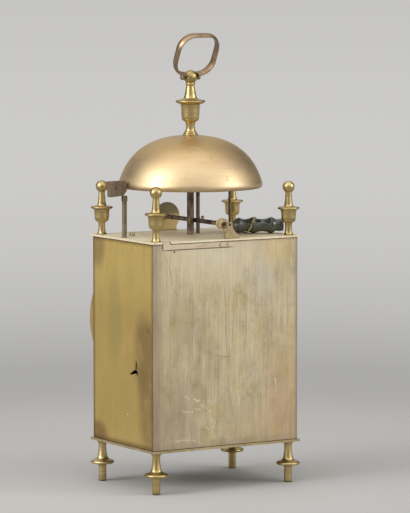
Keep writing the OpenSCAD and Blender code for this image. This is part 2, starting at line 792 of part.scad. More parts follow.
// Verge with its pallets and the double alarm hammer inside the bell
module alarm_hammer() {
    h = crown_at[1] - crown_r;
    color(old_steel) translate([verge_x, verge_y, 0]) {
        translate([0, 0, h - 3]) cylinder(h = rim_z + 12 - h + 3, r = verge_r);
        translate([0, 0, h - 4.6]) cylinder(h = 3, r = pivot_r);
        for (z = [-crown_r - 1, crown_r - 1])
            translate([-1, -verge_r - 0.4, crown_at[1] + z]) cube([2, verge_r + 0.4, 2]);
        translate([-1, -27, rim_z + 9]) cube([2, 27, 1.6]);
        translate([-2.5, -30, rim_z + 7.6]) cube([5, 4, 4.4]);
    }
}

module cock(x, y, x0, x1) {
    difference() {
        translate([x0, y, hammer_z - 4]) cube([x1 - x0, 1.4, top_z - hammer_z + 4]);
        rod([x, hammer_z], y - 1, y + 3, hammer_arbor_r + fit);
    }
}

module hammer_cocks() {
    color(brass) {
        for (y = hammer_cock_y) cock(hammer_x, y, hammer_x - 4, half_w - sheet_t - gap);
        for (y = [-9.2, -2.2]) cock(repeat_x, y, repeat_x - 3.5, repeat_x + 3.5);
    }
}

module verge_bracket() {
    z = crown_at[1] - crown_r - 4.6;
    color(brass) difference() {
        union() {
            translate([verge_x - 3, strap_y, z]) cube([6, 1.4, top_z - z]);
            translate([verge_x - 3, strap_y, z]) cube([6, 11, 1.4]);
            translate([verge_x - 3, strap_y - 6, top_z - 1.2]) cube([6, 7, 1.2]);
        }
        translate([verge_x, verge_y, z - 1]) cylinder(h = 4, r = pivot_r + fit);
        rod(crown_at, strap_y - 1, strap_y + 2, pivot_r + fit);
    }
}

// Pull repeat: arbor in two cocks on the top plate, cord and toggle
bracket_x0 = pull_x - 7.6;

module front_cock() {
    color(brass) difference() {
        front_to_back(front_y - 1, front_y - 1 + cock_t) {
            translate([pull_x - 7.5, deck_z]) square([15, 7.8]);
            translate([pull_x, pull_z]) circle(r = 9.8);
            translate([pull_x - 3, top_z]) square([6, deck_t + 1]);
        }
        translate([pull_x - 20, front_y - 2, top_z - 20]) cube([17, 4, 20 + deck_t]);
        translate([pull_x + 3, front_y - 2, top_z - 20]) cube([17, 4, 20 + deck_t]);
        translate([pull_x - 20, front_y - 2, top_z - 20]) cube([40, 4, 20]);
        rod([pull_x, pull_z], front_y - 2, front_y + 1, pull_pivot_r + fit);
    }
}

module rear_bracket() {
    x0 = bracket_x0;
    top = pull_up + 1.8;
    color(pale_brass) difference() {
        front_to_back(bracket_y, bracket_y + cock_t) difference() {
            union() {
                translate([x0, deck_z]) square([11, top]);
                translate([x0 + 3, top_z]) square([5, deck_t + 1]);
            }
            translate([x0 - 3.6, deck_z + 10.6]) circle(r = 9.2);
            translate([x0 + 9.6, deck_z + 4]) square([4, top]);
        }
        rod([pull_x, pull_z], bracket_y - 1, bracket_y + 3, pull_pivot_r + fit);
    }
}

module pull_arbor() {
    y0 = front_y - 1 + cock_t + 0.1;
    y1 = bracket_y - 0.1;
    p = [pull_x, pull_z];
    color(old_steel) {
        rod(p, y0, pull_neck_y, pull_dia / 2);
        rod(p, y0, y1, pull_neck_r);
        rod(p, front_y - 1, bracket_y + cock_t, pull_pivot_r);
        translate([pull_x, 1.5, pull_z]) cylinder(h = pull_dia / 2 + 1.3, r = 0.6);
    }
}

// The cord winds forward in one layer and back in a steeper second, then runs to the toggle.
function wind_point(i, n) =
    let (k = i / n, turn = min(1, max(0, (k - wind_turns) * 2)),
         r = wind_r1 + (wind_r2 - wind_r1) * turn,
         y = k < wind_turns ? -k : max(0, k - wind_turns - 0.5) * wind_turns / wind_back - wind_turns)
    [pull_x + r * cos(-i * 360 / n + 180), wind_y + y * wind_pitch, pull_z + r * sin(-i * 360 / n + 180)];
wind_rings = 24;
winding = [for (i = [0 : wind_rings * (wind_turns + 0.5 + wind_back)]) wind_point(i, wind_rings)];

// Chosen points of the free stretch: down to the top plate, round the toggle's end and up into its notch
cord_lift = deck_z + cord_dia / 2 + fit;
free_points = [
    [-1.3, 33.5, pull_z - 3.5], [-2.5, 33.1, pull_z - 5.1], [-3.7, 32.1, cord_lift + 1.95],
    [-5.2, 30.3, cord_lift + 0.6], [-6.9, 27.9, cord_lift + 0.05], [-8.85, 23.5, cord_lift],
    [-11.95, 18.9, cord_lift], [-15.1, 14.3, cord_lift], [-18.2, 9.75, cord_lift],
    [-21.05, 6.05, cord_lift], [-24.35, 3.3, cord_lift], [-27.75, 2.05, cord_lift],
    [-31, 2.3, cord_lift], [-33.25, 3.95, cord_lift], [-34.5, 6.3, cord_lift],
    [-34.8, 8.75, cord_lift], [-34.15, 10.65, cord_lift], [-33.25, 12.75, cord_lift + 0.2],
    [-32.95, 14.4, cord_lift + 1], [-32.95, 15.9, cord_lift + 2.15], [-33.2, 17.15, cord_lift + 3.7],
    [-33.7, 17.9, cord_lift + 5.55], [-34.5, 18.05, cord_lift + 7.6], [-35.5, 17.55, cord_lift + 9.3],
    [-36.65, 16.4, cord_lift + 10.25], [-37.35, 15.75, cord_lift + 10.55], [-38.1, 15.05, cord_lift + 10.35],
    [-38.75, 14.55, cord_lift + 9.8], [-39.15, 14.25, cord_lift + 8.95]
];
route = concat(winding, free_points);

function unit(v) = v / norm(v);
function along(p, i) = unit(p[min(i + 1, len(p) - 1)] - p[max(i - 1, 0)]);
function level(v, t) = unit(v - (v * t) * t);
function sides(p) =
    [for (i = 0, v = level([0, 1, 0], along(p, 0)); i < len(p);
          i = i + 1, v = i < len(p) ? level(v, along(p, i)) : v) v];

module tube(p, d, n) {
    v = sides(p);
    points = [for (i = [0 : len(p) - 1]) let (w = cross(along(p, i), v[i]))
        each [for (k = [0 : n - 1]) p[i] + d / 2 * (cos(k * 360 / n) * v[i] + sin(k * 360 / n) * w)]];
    faces = concat(
        [[for (k = [n - 1 : -1 : 0]) k]],
        [for (i = [0 : len(p) - 2], k = [0 : n - 1]) each [
            [i * n + k, i * n + (k + 1) % n, (i + 1) * n + k],
            [i * n + (k + 1) % n, (i + 1) * n + (k + 1) % n, (i + 1) * n + k]]],
        [[for (k = [0 : n - 1]) (len(p) - 1) * n + k]]);
    polyhedron(points, faces);
}

function own_gap(p, d, skip) = min([for (i = [0 : 2 : len(p) - 1 - skip], j = [i + skip : 2 : len(p) - 1])
    norm(p[i] - p[j])]) - d;

module pull_cord() {
    echo(cord_gap = own_gap(route, cord_dia, 10));
    color("#b89a5e") tube(route, cord_dia, 6);
}

module toggle() {
    h = toggle_len / 2;
    r = toggle_r;
    waist = r - 1.35;
    color(horn) difference() {
        translate([toggle_at[0], toggle_at[1], toggle_z]) rotate([0, 0, toggle_yaw])
            rotate([0, 90, 0]) rotate_extrude() polygon([
                [0, -h], [3.2, -h], [4.1, -h + 0.8], [4.2, -h + 3.4], [3.9, -h + 5.2], [4.4, -h + 6.2],
                [r, -h + 8.2], [r - 0.2, -h + 9.2], [waist + 0.5, -h + 11], [waist, -h + 13.4],
                [waist, -h + 15], [waist + 0.4, -h + 17.4], [r - 0.2, -h + 19.6], [r, -h + 20.4],
                [r - 0.2, -h + 21.2], [waist + 0.3, -h + 23.6], [waist - 0.15, -h + 25],
                [waist - 0.15, -h + 26.6], [waist + 0.3, -h + 28.4], [r - 0.5, h - 6.4],
                [r - 0.5, h - 5.4], [r - 1.6, h - 3.4], [1.6, h - 0.6], [0, h]
            ]);
        translate([toggle_at[0], toggle_at[1], toggle_z]) rotate([0, 0, toggle_yaw])
            translate([-1.6, -2, toggle_r - 2.8]) cube([4, 5.2, 6]);
        translate([toggle_at[0], toggle_at[1], toggle_z - 10]) cylinder(h = 20, r = 1.3);
    }
}

// Movement frame
module plate_outline() {
    translate([centre[0] - plate_half_w, centre[1] + plate_low])
        square([2 * plate_half_w, plate_high - plate_low]);
}

pillars = [for (x = [-pillar_x, pillar_x], z = [pillar_low, pillar_high]) centre + [x, z]];
pivots = [third_at, escape_at, anchor_at, pin_at, warning_at, fly_at];

module plate_bores(y0, y1) {
    for (p = pivots) rod(p, y0, y1, pivot_r + fit);
    for (p = [going_at, strike_at, alarm_at]) rod(p, y0, y1, barrel_arbor_r + fit);
    rod(centre, y0, y1, centre_arbor_r + fit);
    for (p = pillars) rod(p, y0, y1, 1.5 + fit);
}

module front_movement_plate() {
    color(brass) difference() {
        front_to_back(front_out_y, front_in_y) plate_outline();
        plate_bores(front_out_y - 1, front_in_y + 1);
        rod(crown_at, front_out_y - 1, front_in_y + 1, pivot_r + fit);
    }
    color(old_steel) rod(minute_at, front_out_y - 8, front_out_y, 1);
}

module back_movement_plate() {
    color(brass) difference() {
        front_to_back(back_in_y, back_out_y) plate_outline();
        plate_bores(back_in_y - 1, back_out_y + 1);
    }
}

module movement_pillars() {
    color(brass) for (p = pillars) {
        rod(p, front_in_y, back_in_y, pillar_dia / 2);
        rod(p, front_out_y - 1, back_out_y + 1, 1.5);
    }
}

module mounting_pillars() {
    color(brass) for (x = [-1, 1], z = [-1, 1]) {
        p = centre + [x * mount_x, z * mount_z];
        rod(p, panel_in_y, front_out_y, mount_r);
        rod(p, front_y, front_out_y, mount_r / 2);
    }
}

// Going train
module barrel(p, phase, wheel_y) {
    color(brass) {
        difference() {
            rod(p, drum_y0, drum_y1, great_n * great_m / 2 - 2);
            rod(p, drum_y0 - 1, drum_y1 + 1, barrel_arbor_r + fit);
        }
        gear(p, phase, wheel_y, wheel_y + 2.4) toothed(great_n, great_m, barrel_arbor_r + fit);
    }
}
drum_y0 = front_in_y + 4;
drum_y1 = front_in_y + 24;

module barrel_arbor(p) {
    color(old_steel) {
        rod(p, front_out_y, back_out_y, barrel_arbor_r);
        difference() {
            rod(p, front_y - 0.6, front_out_y, barrel_arbor_r);
            for (a = [0 : 90 : 270]) translate([p[0], 0, p[1]]) rotate([0, a, 0])
                translate([square_w / 2, front_y - 1, -5]) cube([5, -front_y + front_out_y - 4, 10]);
        }
    }
    color(brass) gear(p, 0, front_out_y - 1.8, front_out_y - 0.3) ratchet(24, 7.6, barrel_arbor_r);
}

module ratchet(n, r, bore) {
    difference() {
        polygon([for (i = [0 : n - 1]) each [at(r - 1, i * 360 / n), at(r, (i + 0.15) * 360 / n)]]);
        circle(r = (bore + 0.02) / cos(15), $fn = 12);
    }
}

module going_barrel() { barrel(going_at, barrel_phase, drum_y1); }
module going_arbor() { barrel_arbor(going_at); }
module strike_barrel() { barrel(strike_at, strike_phase, drum_y0 - 2.4); }
module strike_arbor() { barrel_arbor(strike_at); }
barrel_phase = 0;
strike_phase = 0;

module pinion(p, n, m, phase, y0, y1, bore) {
    color(old_steel) gear(p, phase, y0, y1) toothed(n, m, bore);
}

centre_phase = 0;
centre_pinion_phase = mesh_phase(barrel_a, barrel_phase, great_n, pinion_n);
third_pinion_phase = mesh_phase(third_a, centre_phase, centre_n, pinion_n);
escape_pinion_phase = mesh_phase(escape_a, 0, third_n, pinion_n);
minute_phase = mesh_phase(minute_a, 0, cannon_n, minute_n);
hour_phase = mesh_phase(minute_a + 180, 0, minute_pinion_n, hour_n);
pin_pinion_phase = mesh_phase(pin_a, strike_phase, great_n, pinion_n);
warning_pinion_phase = mesh_phase(warning_a, 0, pin_n, pinion_n);
fly_pinion_phase = mesh_phase(fly_a, 0, warning_n, fly_n);
crown_pinion_phase = mesh_phase(alarm_a + 180, 0, alarm_n, pinion_n);

centre_wheel_y = back_in_y - 6.8;
third_wheel_y = front_in_y + 19.4;
escape_wheel_y = back_in_y - 5.6;
pin_wheel_y = drum_y1 + 4.4;
hammer_cock_y = [hammer_y - 4.2, pin_wheel_y + 4.8];
warning_wheel_y = front_in_y + 8;
alarm_wheel_y = front_in_y + 5;

module centre_arbor() {
    color(old_steel) rod(centre, minute_hand_y - 0.6, back_out_y, centre_arbor_r);
    pinion(centre, pinion_n, great_m, centre_pinion_phase, drum_y1 - 1, drum_y1 + 3.4, centre_arbor_r);
    color(brass) gear(centre, centre_phase, centre_wheel_y, centre_wheel_y + 1.4)
        crossed(centre_n, centre_m, centre_arbor_r, 4.5, 4);
    color(old_steel) difference() {
        rod(centre, minute_hand_y - 0.2, cannon_y1, cannon_r);
        rod(centre, minute_hand_y - 1, cannon_y1 + 1, centre_arbor_r + 0.02);
    }
    pinion(centre, cannon_n, motion_m, 0, cannon_y0, cannon_y1, cannon_r);
}

module hour_wheel() {
    color(brass) {
        difference() {
            rod(centre, hour_hand_y - 0.1, hour_wheel_y1 + 0.5, hour_pipe_r);
            rod(centre, hour_hand_y - 1, hour_wheel_y1 + 1, cannon_r + fit);
        }
        gear(centre, hour_phase, hour_wheel_y0, hour_wheel_y1) toothed(hour_n, hour_m, hour_pipe_r);
    }
}

module minute_wheel() {
    color(brass) {
        difference() {
            rod(minute_at, hour_wheel_y0 - 0.8, front_out_y - 1, 1.6);
            rod(minute_at, hour_wheel_y0 - 2, front_out_y, 1 + fit);
        }
        gear(minute_at, minute_phase, cannon_y0 + 0.8, cannon_y0 + 2.2) toothed(minute_n, motion_m, 1.6);
    }
    pinion(minute_at, minute_pinion_n, hour_m, 0, hour_wheel_y0 - 0.4, cannon_y0 + 0.4, 1.6);
}

module train_wheel(p, n, m, y, pinion_count, pinion_module, phase, py0, py1) {
    color(old_steel) arbor(p, thin_arbor_r);
    color(brass) gear(p, 0, y, y + 1.4) crossed(n, m, thin_arbor_r, 3.4, 4);
    pinion(p, pinion_count, pinion_module, phase, py0, py1, thin_arbor_r);
}

module third_wheel() {
    train_wheel(third_at, third_n, third_m, third_wheel_y, pinion_n, centre_m, third_pinion_phase,
                centre_wheel_y - 0.8, centre_wheel_y + 2.2);
}

module escape_wheel() {
    color(old_steel) arbor(escape_at, thin_arbor_r);
    color(brass) gear(escape_at, 6, escape_wheel_y, escape_wheel_y + 1.2) ratchet(30, 9, thin_arbor_r);
    pinion(escape_at, pinion_n, third_m, escape_pinion_phase, third_wheel_y - 1, third_wheel_y + 2.6,
           thin_arbor_r);
}

module anchor() {
    color(old_steel) {
        arbor(anchor_at, thin_arbor_r);
        rod(anchor_at, back_out_y, back_out_y + 3.2, pivot_r);
        front_to_back(escape_wheel_y, escape_wheel_y + 1.2) translate(anchor_at) difference() {
            polygon([[-2, 2], [2, 2], [9.7, -4], [10.1, -8.4], [8.9, -8.4], [7.6, -4.6], [1.4, -1.8],
                     [-1.4, -1.8], [-7.6, -4.6], [-8.9, -8.4], [-10.1, -8.4], [-9.7, -4]]);
            circle(r = (thin_arbor_r + 0.02) / cos(15), $fn = 12);
        }
        front_to_back(back_out_y + 1.2, back_out_y + 2.6) translate(anchor_at + [-1, -28])
            square([2, 29.5]);
        for (s = [-1, 1]) translate([anchor_at[0] + s * 1.6 - 0.5, back_out_y + 1.2, anchor_at[1] - 28.4])
            cube([1, 8, 1.4]);
        translate([anchor_at[0] - 2.1, back_out_y + 1.2, anchor_at[1] - 28.4]) cube([4.2, 1.4, 1.4]);
    }
}
pendulum_y = back_out_y + 7;

module pendulum() {
    p = [anchor_at[0], anchor_at[1]];
    color(old_steel) difference() {
        union() {
            rod(p, pendulum_y - 1, pendulum_y + 1, 2);
            translate([p[0], pendulum_y, p[1] - pendulum_len]) cylinder(h = pendulum_len - 1, r = 0.7);
        }
        rod(p, pendulum_y - 2, pendulum_y + 2, 0.9 + fit);
    }
    color(brass) to_front([p[0], p[1] - pendulum_len], pendulum_y) rotate_extrude() polygon([
        [0, -3.6], [4, -3.4], [8, -2.4], [bob_dia / 2, -0.3], [bob_dia / 2, 0.3], [8, 2.4], [4, 3.4], [0, 3.6]]);
}

module pendulum_cock() {
    p = [anchor_at[0], anchor_at[1]];
    color(brass) difference() {
        union() {
            translate([p[0] - 14, back_out_y, p[1] - 3]) cube([8, 12, 6]);
            translate([p[0] - 14, pendulum_y + 1.3, p[1] - 3]) cube([18, 3.7, 6]);
        }
        rod(p, pendulum_y, pendulum_y + 9, 0.9);
    }
    color(old_steel) rod(p, pendulum_y - 1.6, pendulum_y + 5, 0.9);
}

// Striking train
module pin_wheel() {
    train_wheel(pin_at, pin_n, pin_m, pin_wheel_y, pinion_n, great_m, pin_pinion_phase,
                drum_y0 - 3.4, drum_y0 + 1);
    color(old_steel) for (i = [0 : 7]) rod(polar(pin_at, i * 45, 10.9), pin_wheel_y + 1.4, pin_wheel_y + 4.6, 0.6);
}

module warning_wheel() {
    train_wheel(warning_at, warning_n, warning_m, warning_wheel_y, pinion_n, pin_m, warning_pinion_phase,
                pin_wheel_y - 1, pin_wheel_y + 2.6);
}

module fly() {
    color(old_steel) arbor(fly_at, thin_arbor_r);
    pinion(fly_at, fly_n, warning_m, fly_pinion_phase, warning_wheel_y - 1, warning_wheel_y + 2.4, 0.9);
    color(brass) translate([fly_at[0] - 8, drum_y0 + 8, fly_at[1] - 0.2]) cube([16, 9, 0.4]);
}

// Alarm train
module alarm_barrel() {
    color(old_steel) {
        rod(alarm_at, front_out_y, back_out_y + 8, barrel_arbor_r);
    }
    color(brass) {
        difference() {
            rod(alarm_at, alarm_wheel_y + 1.6, alarm_wheel_y + 13, 11.6);
            rod(alarm_at, alarm_wheel_y, alarm_wheel_y + 20, barrel_arbor_r + 0.02);
        }
        gear(alarm_at, 0, alarm_wheel_y, alarm_wheel_y + 1.6) toothed(alarm_n, alarm_m, barrel_arbor_r);
    }
}

module crown_wheel() {
    y = strap_y + 2.2;
    color(old_steel) {
        rod(crown_at, front_in_y + 0.15, strap_y - 0.15, thin_arbor_r);
        rod(crown_at, front_out_y, y + 1.2, pivot_r);
    }
    pinion(crown_at, pinion_n, alarm_m, crown_pinion_phase, alarm_wheel_y - 1, alarm_wheel_y + 2.6,
           thin_arbor_r);
    color(brass) {
        gear(crown_at, 0, y, y + 1.2) difference() {
            circle(r = crown_r, $fn = 11);
            circle(r = (pivot_r + 0.02) / cos(15), $fn = 12);
        }
        for (i = [0 : 10]) translate([crown_at[0], y + 1.1, crown_at[1]]) rotate([0, i * 360 / 11 + 12, 0])
            translate([crown_r - 1.5, 0, 0]) linear_extrude(0.7)
                polygon([[0, 0], [1, 0], [0.8, 2.2], [0, 2.2]]);
    }
}

bottom_plate();
top_plate();
front_panel();
corner_posts();
feet();
finials();
back_door();
back_catch();
catch_rivets();
right_door();
left_door();
side_catches_right();
side_catches_left();
door_pins();
bezel();
glass();
bezel_lugs();
dial();
minute_hand();
hour_hand();
alarm_disc();
bell();
bell_post();
bell_washer();
top_finial();
carrying_ring();
strike_hammer();
repeat_hammer();
alarm_hammer();
hammer_cocks();
verge_bracket();
front_cock();
rear_bracket();
pull_arbor();
pull_cord();
toggle();
front_movement_plate();
back_movement_plate();
movement_pillars();
mounting_pillars();
centre_arbor();
hour_wheel();
minute_wheel();
going_barrel();
going_arbor();
third_wheel();
escape_wheel();
anchor();
pendulum();
pendulum_cock();
strike_barrel();
strike_arbor();
pin_wheel();
warning_wheel();
fly();
alarm_barrel();
crown_wheel();
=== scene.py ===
# Looks of the brass alarm clock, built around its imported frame.
# Sizes in the dictionaries are millimetres; camera, lamps and the floor's tones are in metres.
import json
import math

import bmesh
import bpy
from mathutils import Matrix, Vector


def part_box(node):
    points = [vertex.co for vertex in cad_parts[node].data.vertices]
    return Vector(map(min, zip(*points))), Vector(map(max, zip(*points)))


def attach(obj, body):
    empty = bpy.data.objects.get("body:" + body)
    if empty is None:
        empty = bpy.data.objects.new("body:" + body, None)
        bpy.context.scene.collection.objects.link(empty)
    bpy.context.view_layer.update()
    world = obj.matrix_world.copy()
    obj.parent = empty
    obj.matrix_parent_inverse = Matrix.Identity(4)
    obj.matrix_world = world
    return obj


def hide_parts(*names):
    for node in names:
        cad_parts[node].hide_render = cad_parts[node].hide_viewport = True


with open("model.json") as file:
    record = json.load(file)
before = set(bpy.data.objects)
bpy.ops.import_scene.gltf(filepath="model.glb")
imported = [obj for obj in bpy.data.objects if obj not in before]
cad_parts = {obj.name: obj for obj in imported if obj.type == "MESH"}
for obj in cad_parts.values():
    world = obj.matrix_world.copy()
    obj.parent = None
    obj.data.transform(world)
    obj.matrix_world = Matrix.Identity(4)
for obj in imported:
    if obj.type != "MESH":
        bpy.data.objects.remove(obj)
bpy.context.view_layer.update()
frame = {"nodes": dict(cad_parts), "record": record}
nodes = frame["nodes"]
mm = 0.001


def linked(name, data):
    piece = bpy.data.objects.new(name, data)
    bpy.context.scene.collection.objects.link(piece)
    return piece


# Nodes: each input takes a value or a link
def feed(tree, node, inputs):
    for key, value in inputs.items():
        if isinstance(value, bpy.types.NodeSocket):
            tree.links.new(value, node.inputs[key])
        else:
            node.inputs[key].default_value = value


def built(tree, kind, inputs=None, **settings):
    node = tree.nodes.new(kind)
    for key, value in settings.items():
        setattr(node, key, value)
    feed(tree, node, inputs or {})
    return node


def maths(tree, operation, *values, **settings):
    return built(tree, "ShaderNodeMath", dict(enumerate(values)), operation=operation, **settings).outputs[0]


# Camera, at the photograph's place
camera = {"place": (1.21402, 1.97096, 0.36985), "forward": (-0.52459, -0.84621, -0.09355), "lens": 243.0,
          "sensor": 36, "clip": (0.1, 60)}


def makeCamera(c):
    data = bpy.data.cameras.new("camera")
    data.sensor_width = c["sensor"]
    data.lens = c["lens"]
    data.clip_start, data.clip_end = c["clip"]
    eye = linked("camera", data)
    eye.location = c["place"]
    eye.rotation_mode = "QUATERNION"
    eye.rotation_quaternion = Vector(c["forward"]).to_track_quat("-Z", "Y")
    bpy.context.scene.camera = eye


makeCamera(camera)
bpy.context.scene.view_settings.view_transform = "Standard"
print("camera placed")


# Small helpers
def boxOf(node):
    low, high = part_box(node)
    return [v / mm for v in low], [v / mm for v in high]


def meshPiece(name, points, faces, smooth=True):
    mesh = bpy.data.meshes.new(name)
    mesh.from_pydata([tuple(v * mm for v in p) for p in points], [], faces)
    mesh.validate()
    for f in mesh.polygons:
        f.use_smooth = smooth
    return linked(name, mesh)


def shadeByAngle(piece, angle):
    for f in piece.data.polygons:
        f.use_smooth = True
    piece.data.set_sharp_from_angle(angle=math.radians(angle))


def outwards(piece):
    b = bmesh.new()
    b.from_mesh(piece.data)
    bmesh.ops.remove_doubles(b, verts=b.verts, dist=1e-6)
    bmesh.ops.recalc_face_normals(b, faces=b.faces)
    b.to_mesh(piece.data)
    b.free()


def bake(piece):
    # the evaluated piece, modifiers and all, as a plain mesh at the origin
    dg = bpy.context.evaluated_depsgraph_get()
    mesh = bpy.data.meshes.new_from_object(piece.evaluated_get(dg))
    piece.modifiers.clear()
    if piece.type == "MESH":
        piece.data = mesh
        return piece
    made = linked(piece.name + "Mesh", mesh)
    bpy.data.objects.remove(piece)
    return made


def place(piece, body, slot, material, *stands):
    piece.data.materials.clear()
    piece.data.materials.append(material)
    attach(piece, body)
    if stands:
        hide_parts(*stands)


def joined(name, pieces):
    # several meshes as one
    b = bmesh.new()
    for p in pieces:
        b.from_mesh(p.data)
        bpy.data.objects.remove(p)
    mesh = bpy.data.meshes.new(name)
    b.to_mesh(mesh)
    b.free()
    return linked(name, mesh)


# A smooth line through a few points
def smoothLine(points, steps=6):
    if len(points) < 3:
        return list(points)
    ends = [points[0]] + list(points) + [points[-1]]
    line = []
    for a, b, c, d in zip(ends, ends[1:], ends[2:], ends[3:]):
        for k in range(steps):
            t = k / steps
            line.append(tuple(0.5 * (2 * q + (r - p) * t + (2 * p - 5 * q + 4 * r - s) * t * t
                                     + (3 * q - p - 3 * r + s) * t ** 3) for p, q, r, s in zip(a, b, c, d)))
    return line + [points[-1]]


def ballLine(radius, height, fromAngle, steps=14):
    angles = [math.radians(fromAngle + (90 - fromAngle) * k / steps) for k in range(steps + 1)]
    return [(radius * math.cos(a) if a < math.pi / 2 else 0, height + radius * math.sin(a)) for a in angles]


def profileOf(stretches):
    # stretches of a profile meet at sharp corners
    line = []
    for stretch in stretches:
        line += [p for p in smoothLine(stretch) if not line or p != line[-1]]
    return line


def lathe(name, line, segments=64, sharp=38):
    points, faces, rings = [], [], []
    for r, z in line:
        if r < 1e-4:
            rings.append([len(points)] * segments)
            points.append((0, 0, z))
        else:
            rings.append(list(range(len(points), len(points) + segments)))
            angles = [2 * math.pi * k / segments for k in range(segments)]
            points += [(r * math.cos(a), r * math.sin(a), z) for a in angles]
    for low, high in zip(rings, rings[1:]):
        for k in range(segments):
            corners = [low[k], low[(k + 1) % segments], high[(k + 1) % segments], high[k]]
            face = [c for i, c in enumerate(corners) if c not in corners[:i]]
            if len(face) > 2:
                faces.append(face)
    piece = meshPiece(name, points, faces)
    outwards(piece)
    shadeByAngle(piece, sharp)
    return piece


def moved(piece, offset, turn=None):
    for v in piece.data.vertices:
        v.co = (turn @ v.co if turn else v.co) + Vector(offset) * mm
    return piece


# Shader helpers, which add nodes and give their output
class Shader:
    def __init__(self, name):
        self.material = bpy.data.materials.new(name)
        self.material.use_nodes = True
        self.tree = self.material.node_tree
        self.out = self.tree.nodes["Principled BSDF"]
        self.where = self.add("ShaderNodeTexCoord").outputs["Object"]

    def add(self, kind, inputs=None, **settings):
        return built(self.tree, kind, inputs, **settings)

    def surface(self, inputs):
        feed(self.tree, self.out, inputs)
        return self.material

    def stretch(self, scale, move=(0, 0, 0)):
        inputs = {"Vector": self.where, "Location": move, "Scale": scale}
        return self.add("ShaderNodeMapping", inputs).outputs["Vector"]

    def noise(self, scale, detail=4, rough=0.55, vector=None, warp=0):
        inputs = {"Vector": vector or self.where, "Scale": scale, "Detail": detail, "Roughness": rough,
                  "Distortion": warp}
        return self.add("ShaderNodeTexNoise", inputs).outputs["Fac"]

    def between(self, value, low, high, out=(0, 1)):
        inputs = {"Value": value, "From Min": low, "From Max": high, "To Min": out[0], "To Max": out[1]}
        return self.add("ShaderNodeMapRange", inputs, interpolation_type="SMOOTHSTEP").outputs["Result"]

    def sum(self, operation, a, b=0.0, clamp=False):
        return maths(self.tree, operation, a, b, use_clamp=clamp)

    def times(self, a, b):
        return self.sum("MULTIPLY", a, b)

    def blend(self, fac, a, b):
        return self.add("ShaderNodeMix", {"Factor": fac, "A": a, "B": b}, data_type="RGBA").outputs["Result"]

    def tint(self, colour, mask, strength, shade):
        return self.blend(self.times(mask, strength), colour, shade)

    def axes(self):
        return self.add("ShaderNodeSeparateXYZ", {0: self.where}).outputs

    def blob(self, centre, radii, soft=1.0):
        # 1 at the centre, 0 outside an ellipsoid given in mm
        scale = [1000 / r for r in radii]
        inside = self.stretch(scale, move=[-c * mm * s for c, s in zip(centre, scale)])
        away = self.add("ShaderNodeVectorMath", {0: inside}, operation="LENGTH")
        return self.between(away.outputs["Value"], 1, 1 - soft)

    def edge(self, axis, at, width):
        # 1 at a coordinate given in mm, 0 at the width from it
        away = self.sum("ABSOLUTE", self.sum("SUBTRACT", self.axes()[axis], at * mm))
        return self.between(away, width * mm, 0)

    def stroke(self, axis, start, end, width, bow=0.0):
        # a thin line in the plane of one axis and Z, bowed by a parabola, sizes in mm
        out = self.axes()
        (x0, z0), (x1, z1) = start, end
        length = math.hypot(x1 - x0, z1 - z0)
        ux, uz = (x1 - x0) / length, (z1 - z0) / length
        dx = self.sum("SUBTRACT", out[axis], x0 * mm)
        dz = self.sum("SUBTRACT", out[2], z0 * mm)
        along = self.sum("ADD", self.times(dx, ux), self.times(dz, uz))
        across = self.sum("SUBTRACT", self.times(dx, uz), self.times(dz, ux))
        t = self.sum("DIVIDE", along, length * mm)
        arch = self.times(self.times(t, self.sum("SUBTRACT", 1.0, t)), 4 * bow * mm)
        away = self.sum("ABSOLUTE", self.sum("SUBTRACT", across, arch))
        near = self.between(away, width * mm, width * mm * 0.2)
        return self.times(near, self.times(self.between(t, 0, 0.12), self.between(t, 1, 0.88)))

    def strokes(self, axis, lines):
        marks = [self.stroke(axis, *line) for line in lines]
        whole = marks[0]
        for mark in marks[1:]:
            whole = self.sum("MAXIMUM", whole, mark)
        return self.times(whole, self.between(self.noise(700, 3, 0.7), 0.36, 0.58))

    def corners(self, distance):
        # 1 in tight corners and gaps, 0 in the open: the mask for painted shade with grime
        node = self.add("ShaderNodeAmbientOcclusion", {"Distance": distance * mm}, samples=8)
        return self.between(node.outputs["AO"], 0.85, 0.3)

    def bump(self, height, strength, distance):
        inputs = {"Strength": strength, "Distance": distance, "Height": height}
        return self.add("ShaderNodeBump", inputs).outputs["Normal"]


def tone(r, g, b):
    # an sRGB colour as seen, 0 to 255, to the linear value that a socket holds
    def linear(c):
        c /= 255
        return c / 12.92 if c <= 0.04045 else ((c + 0.055) / 1.055) ** 2.4
    return (linear(r), linear(g), linear(b), 1)


# What a finish has unless its look says otherwise
usualLook = {"patch": 28, "vary": 0.8, "streaks": 0.35, "fine": 0.2, "specks": 0.4, "speckSize": 420,
             "grime": 0.6, "reach": 2.2, "metal": 1.0, "coat": 0.0, "scratch": 0.25, "dents": 60,
             "bump": 0.12, "depth": 0.0003}


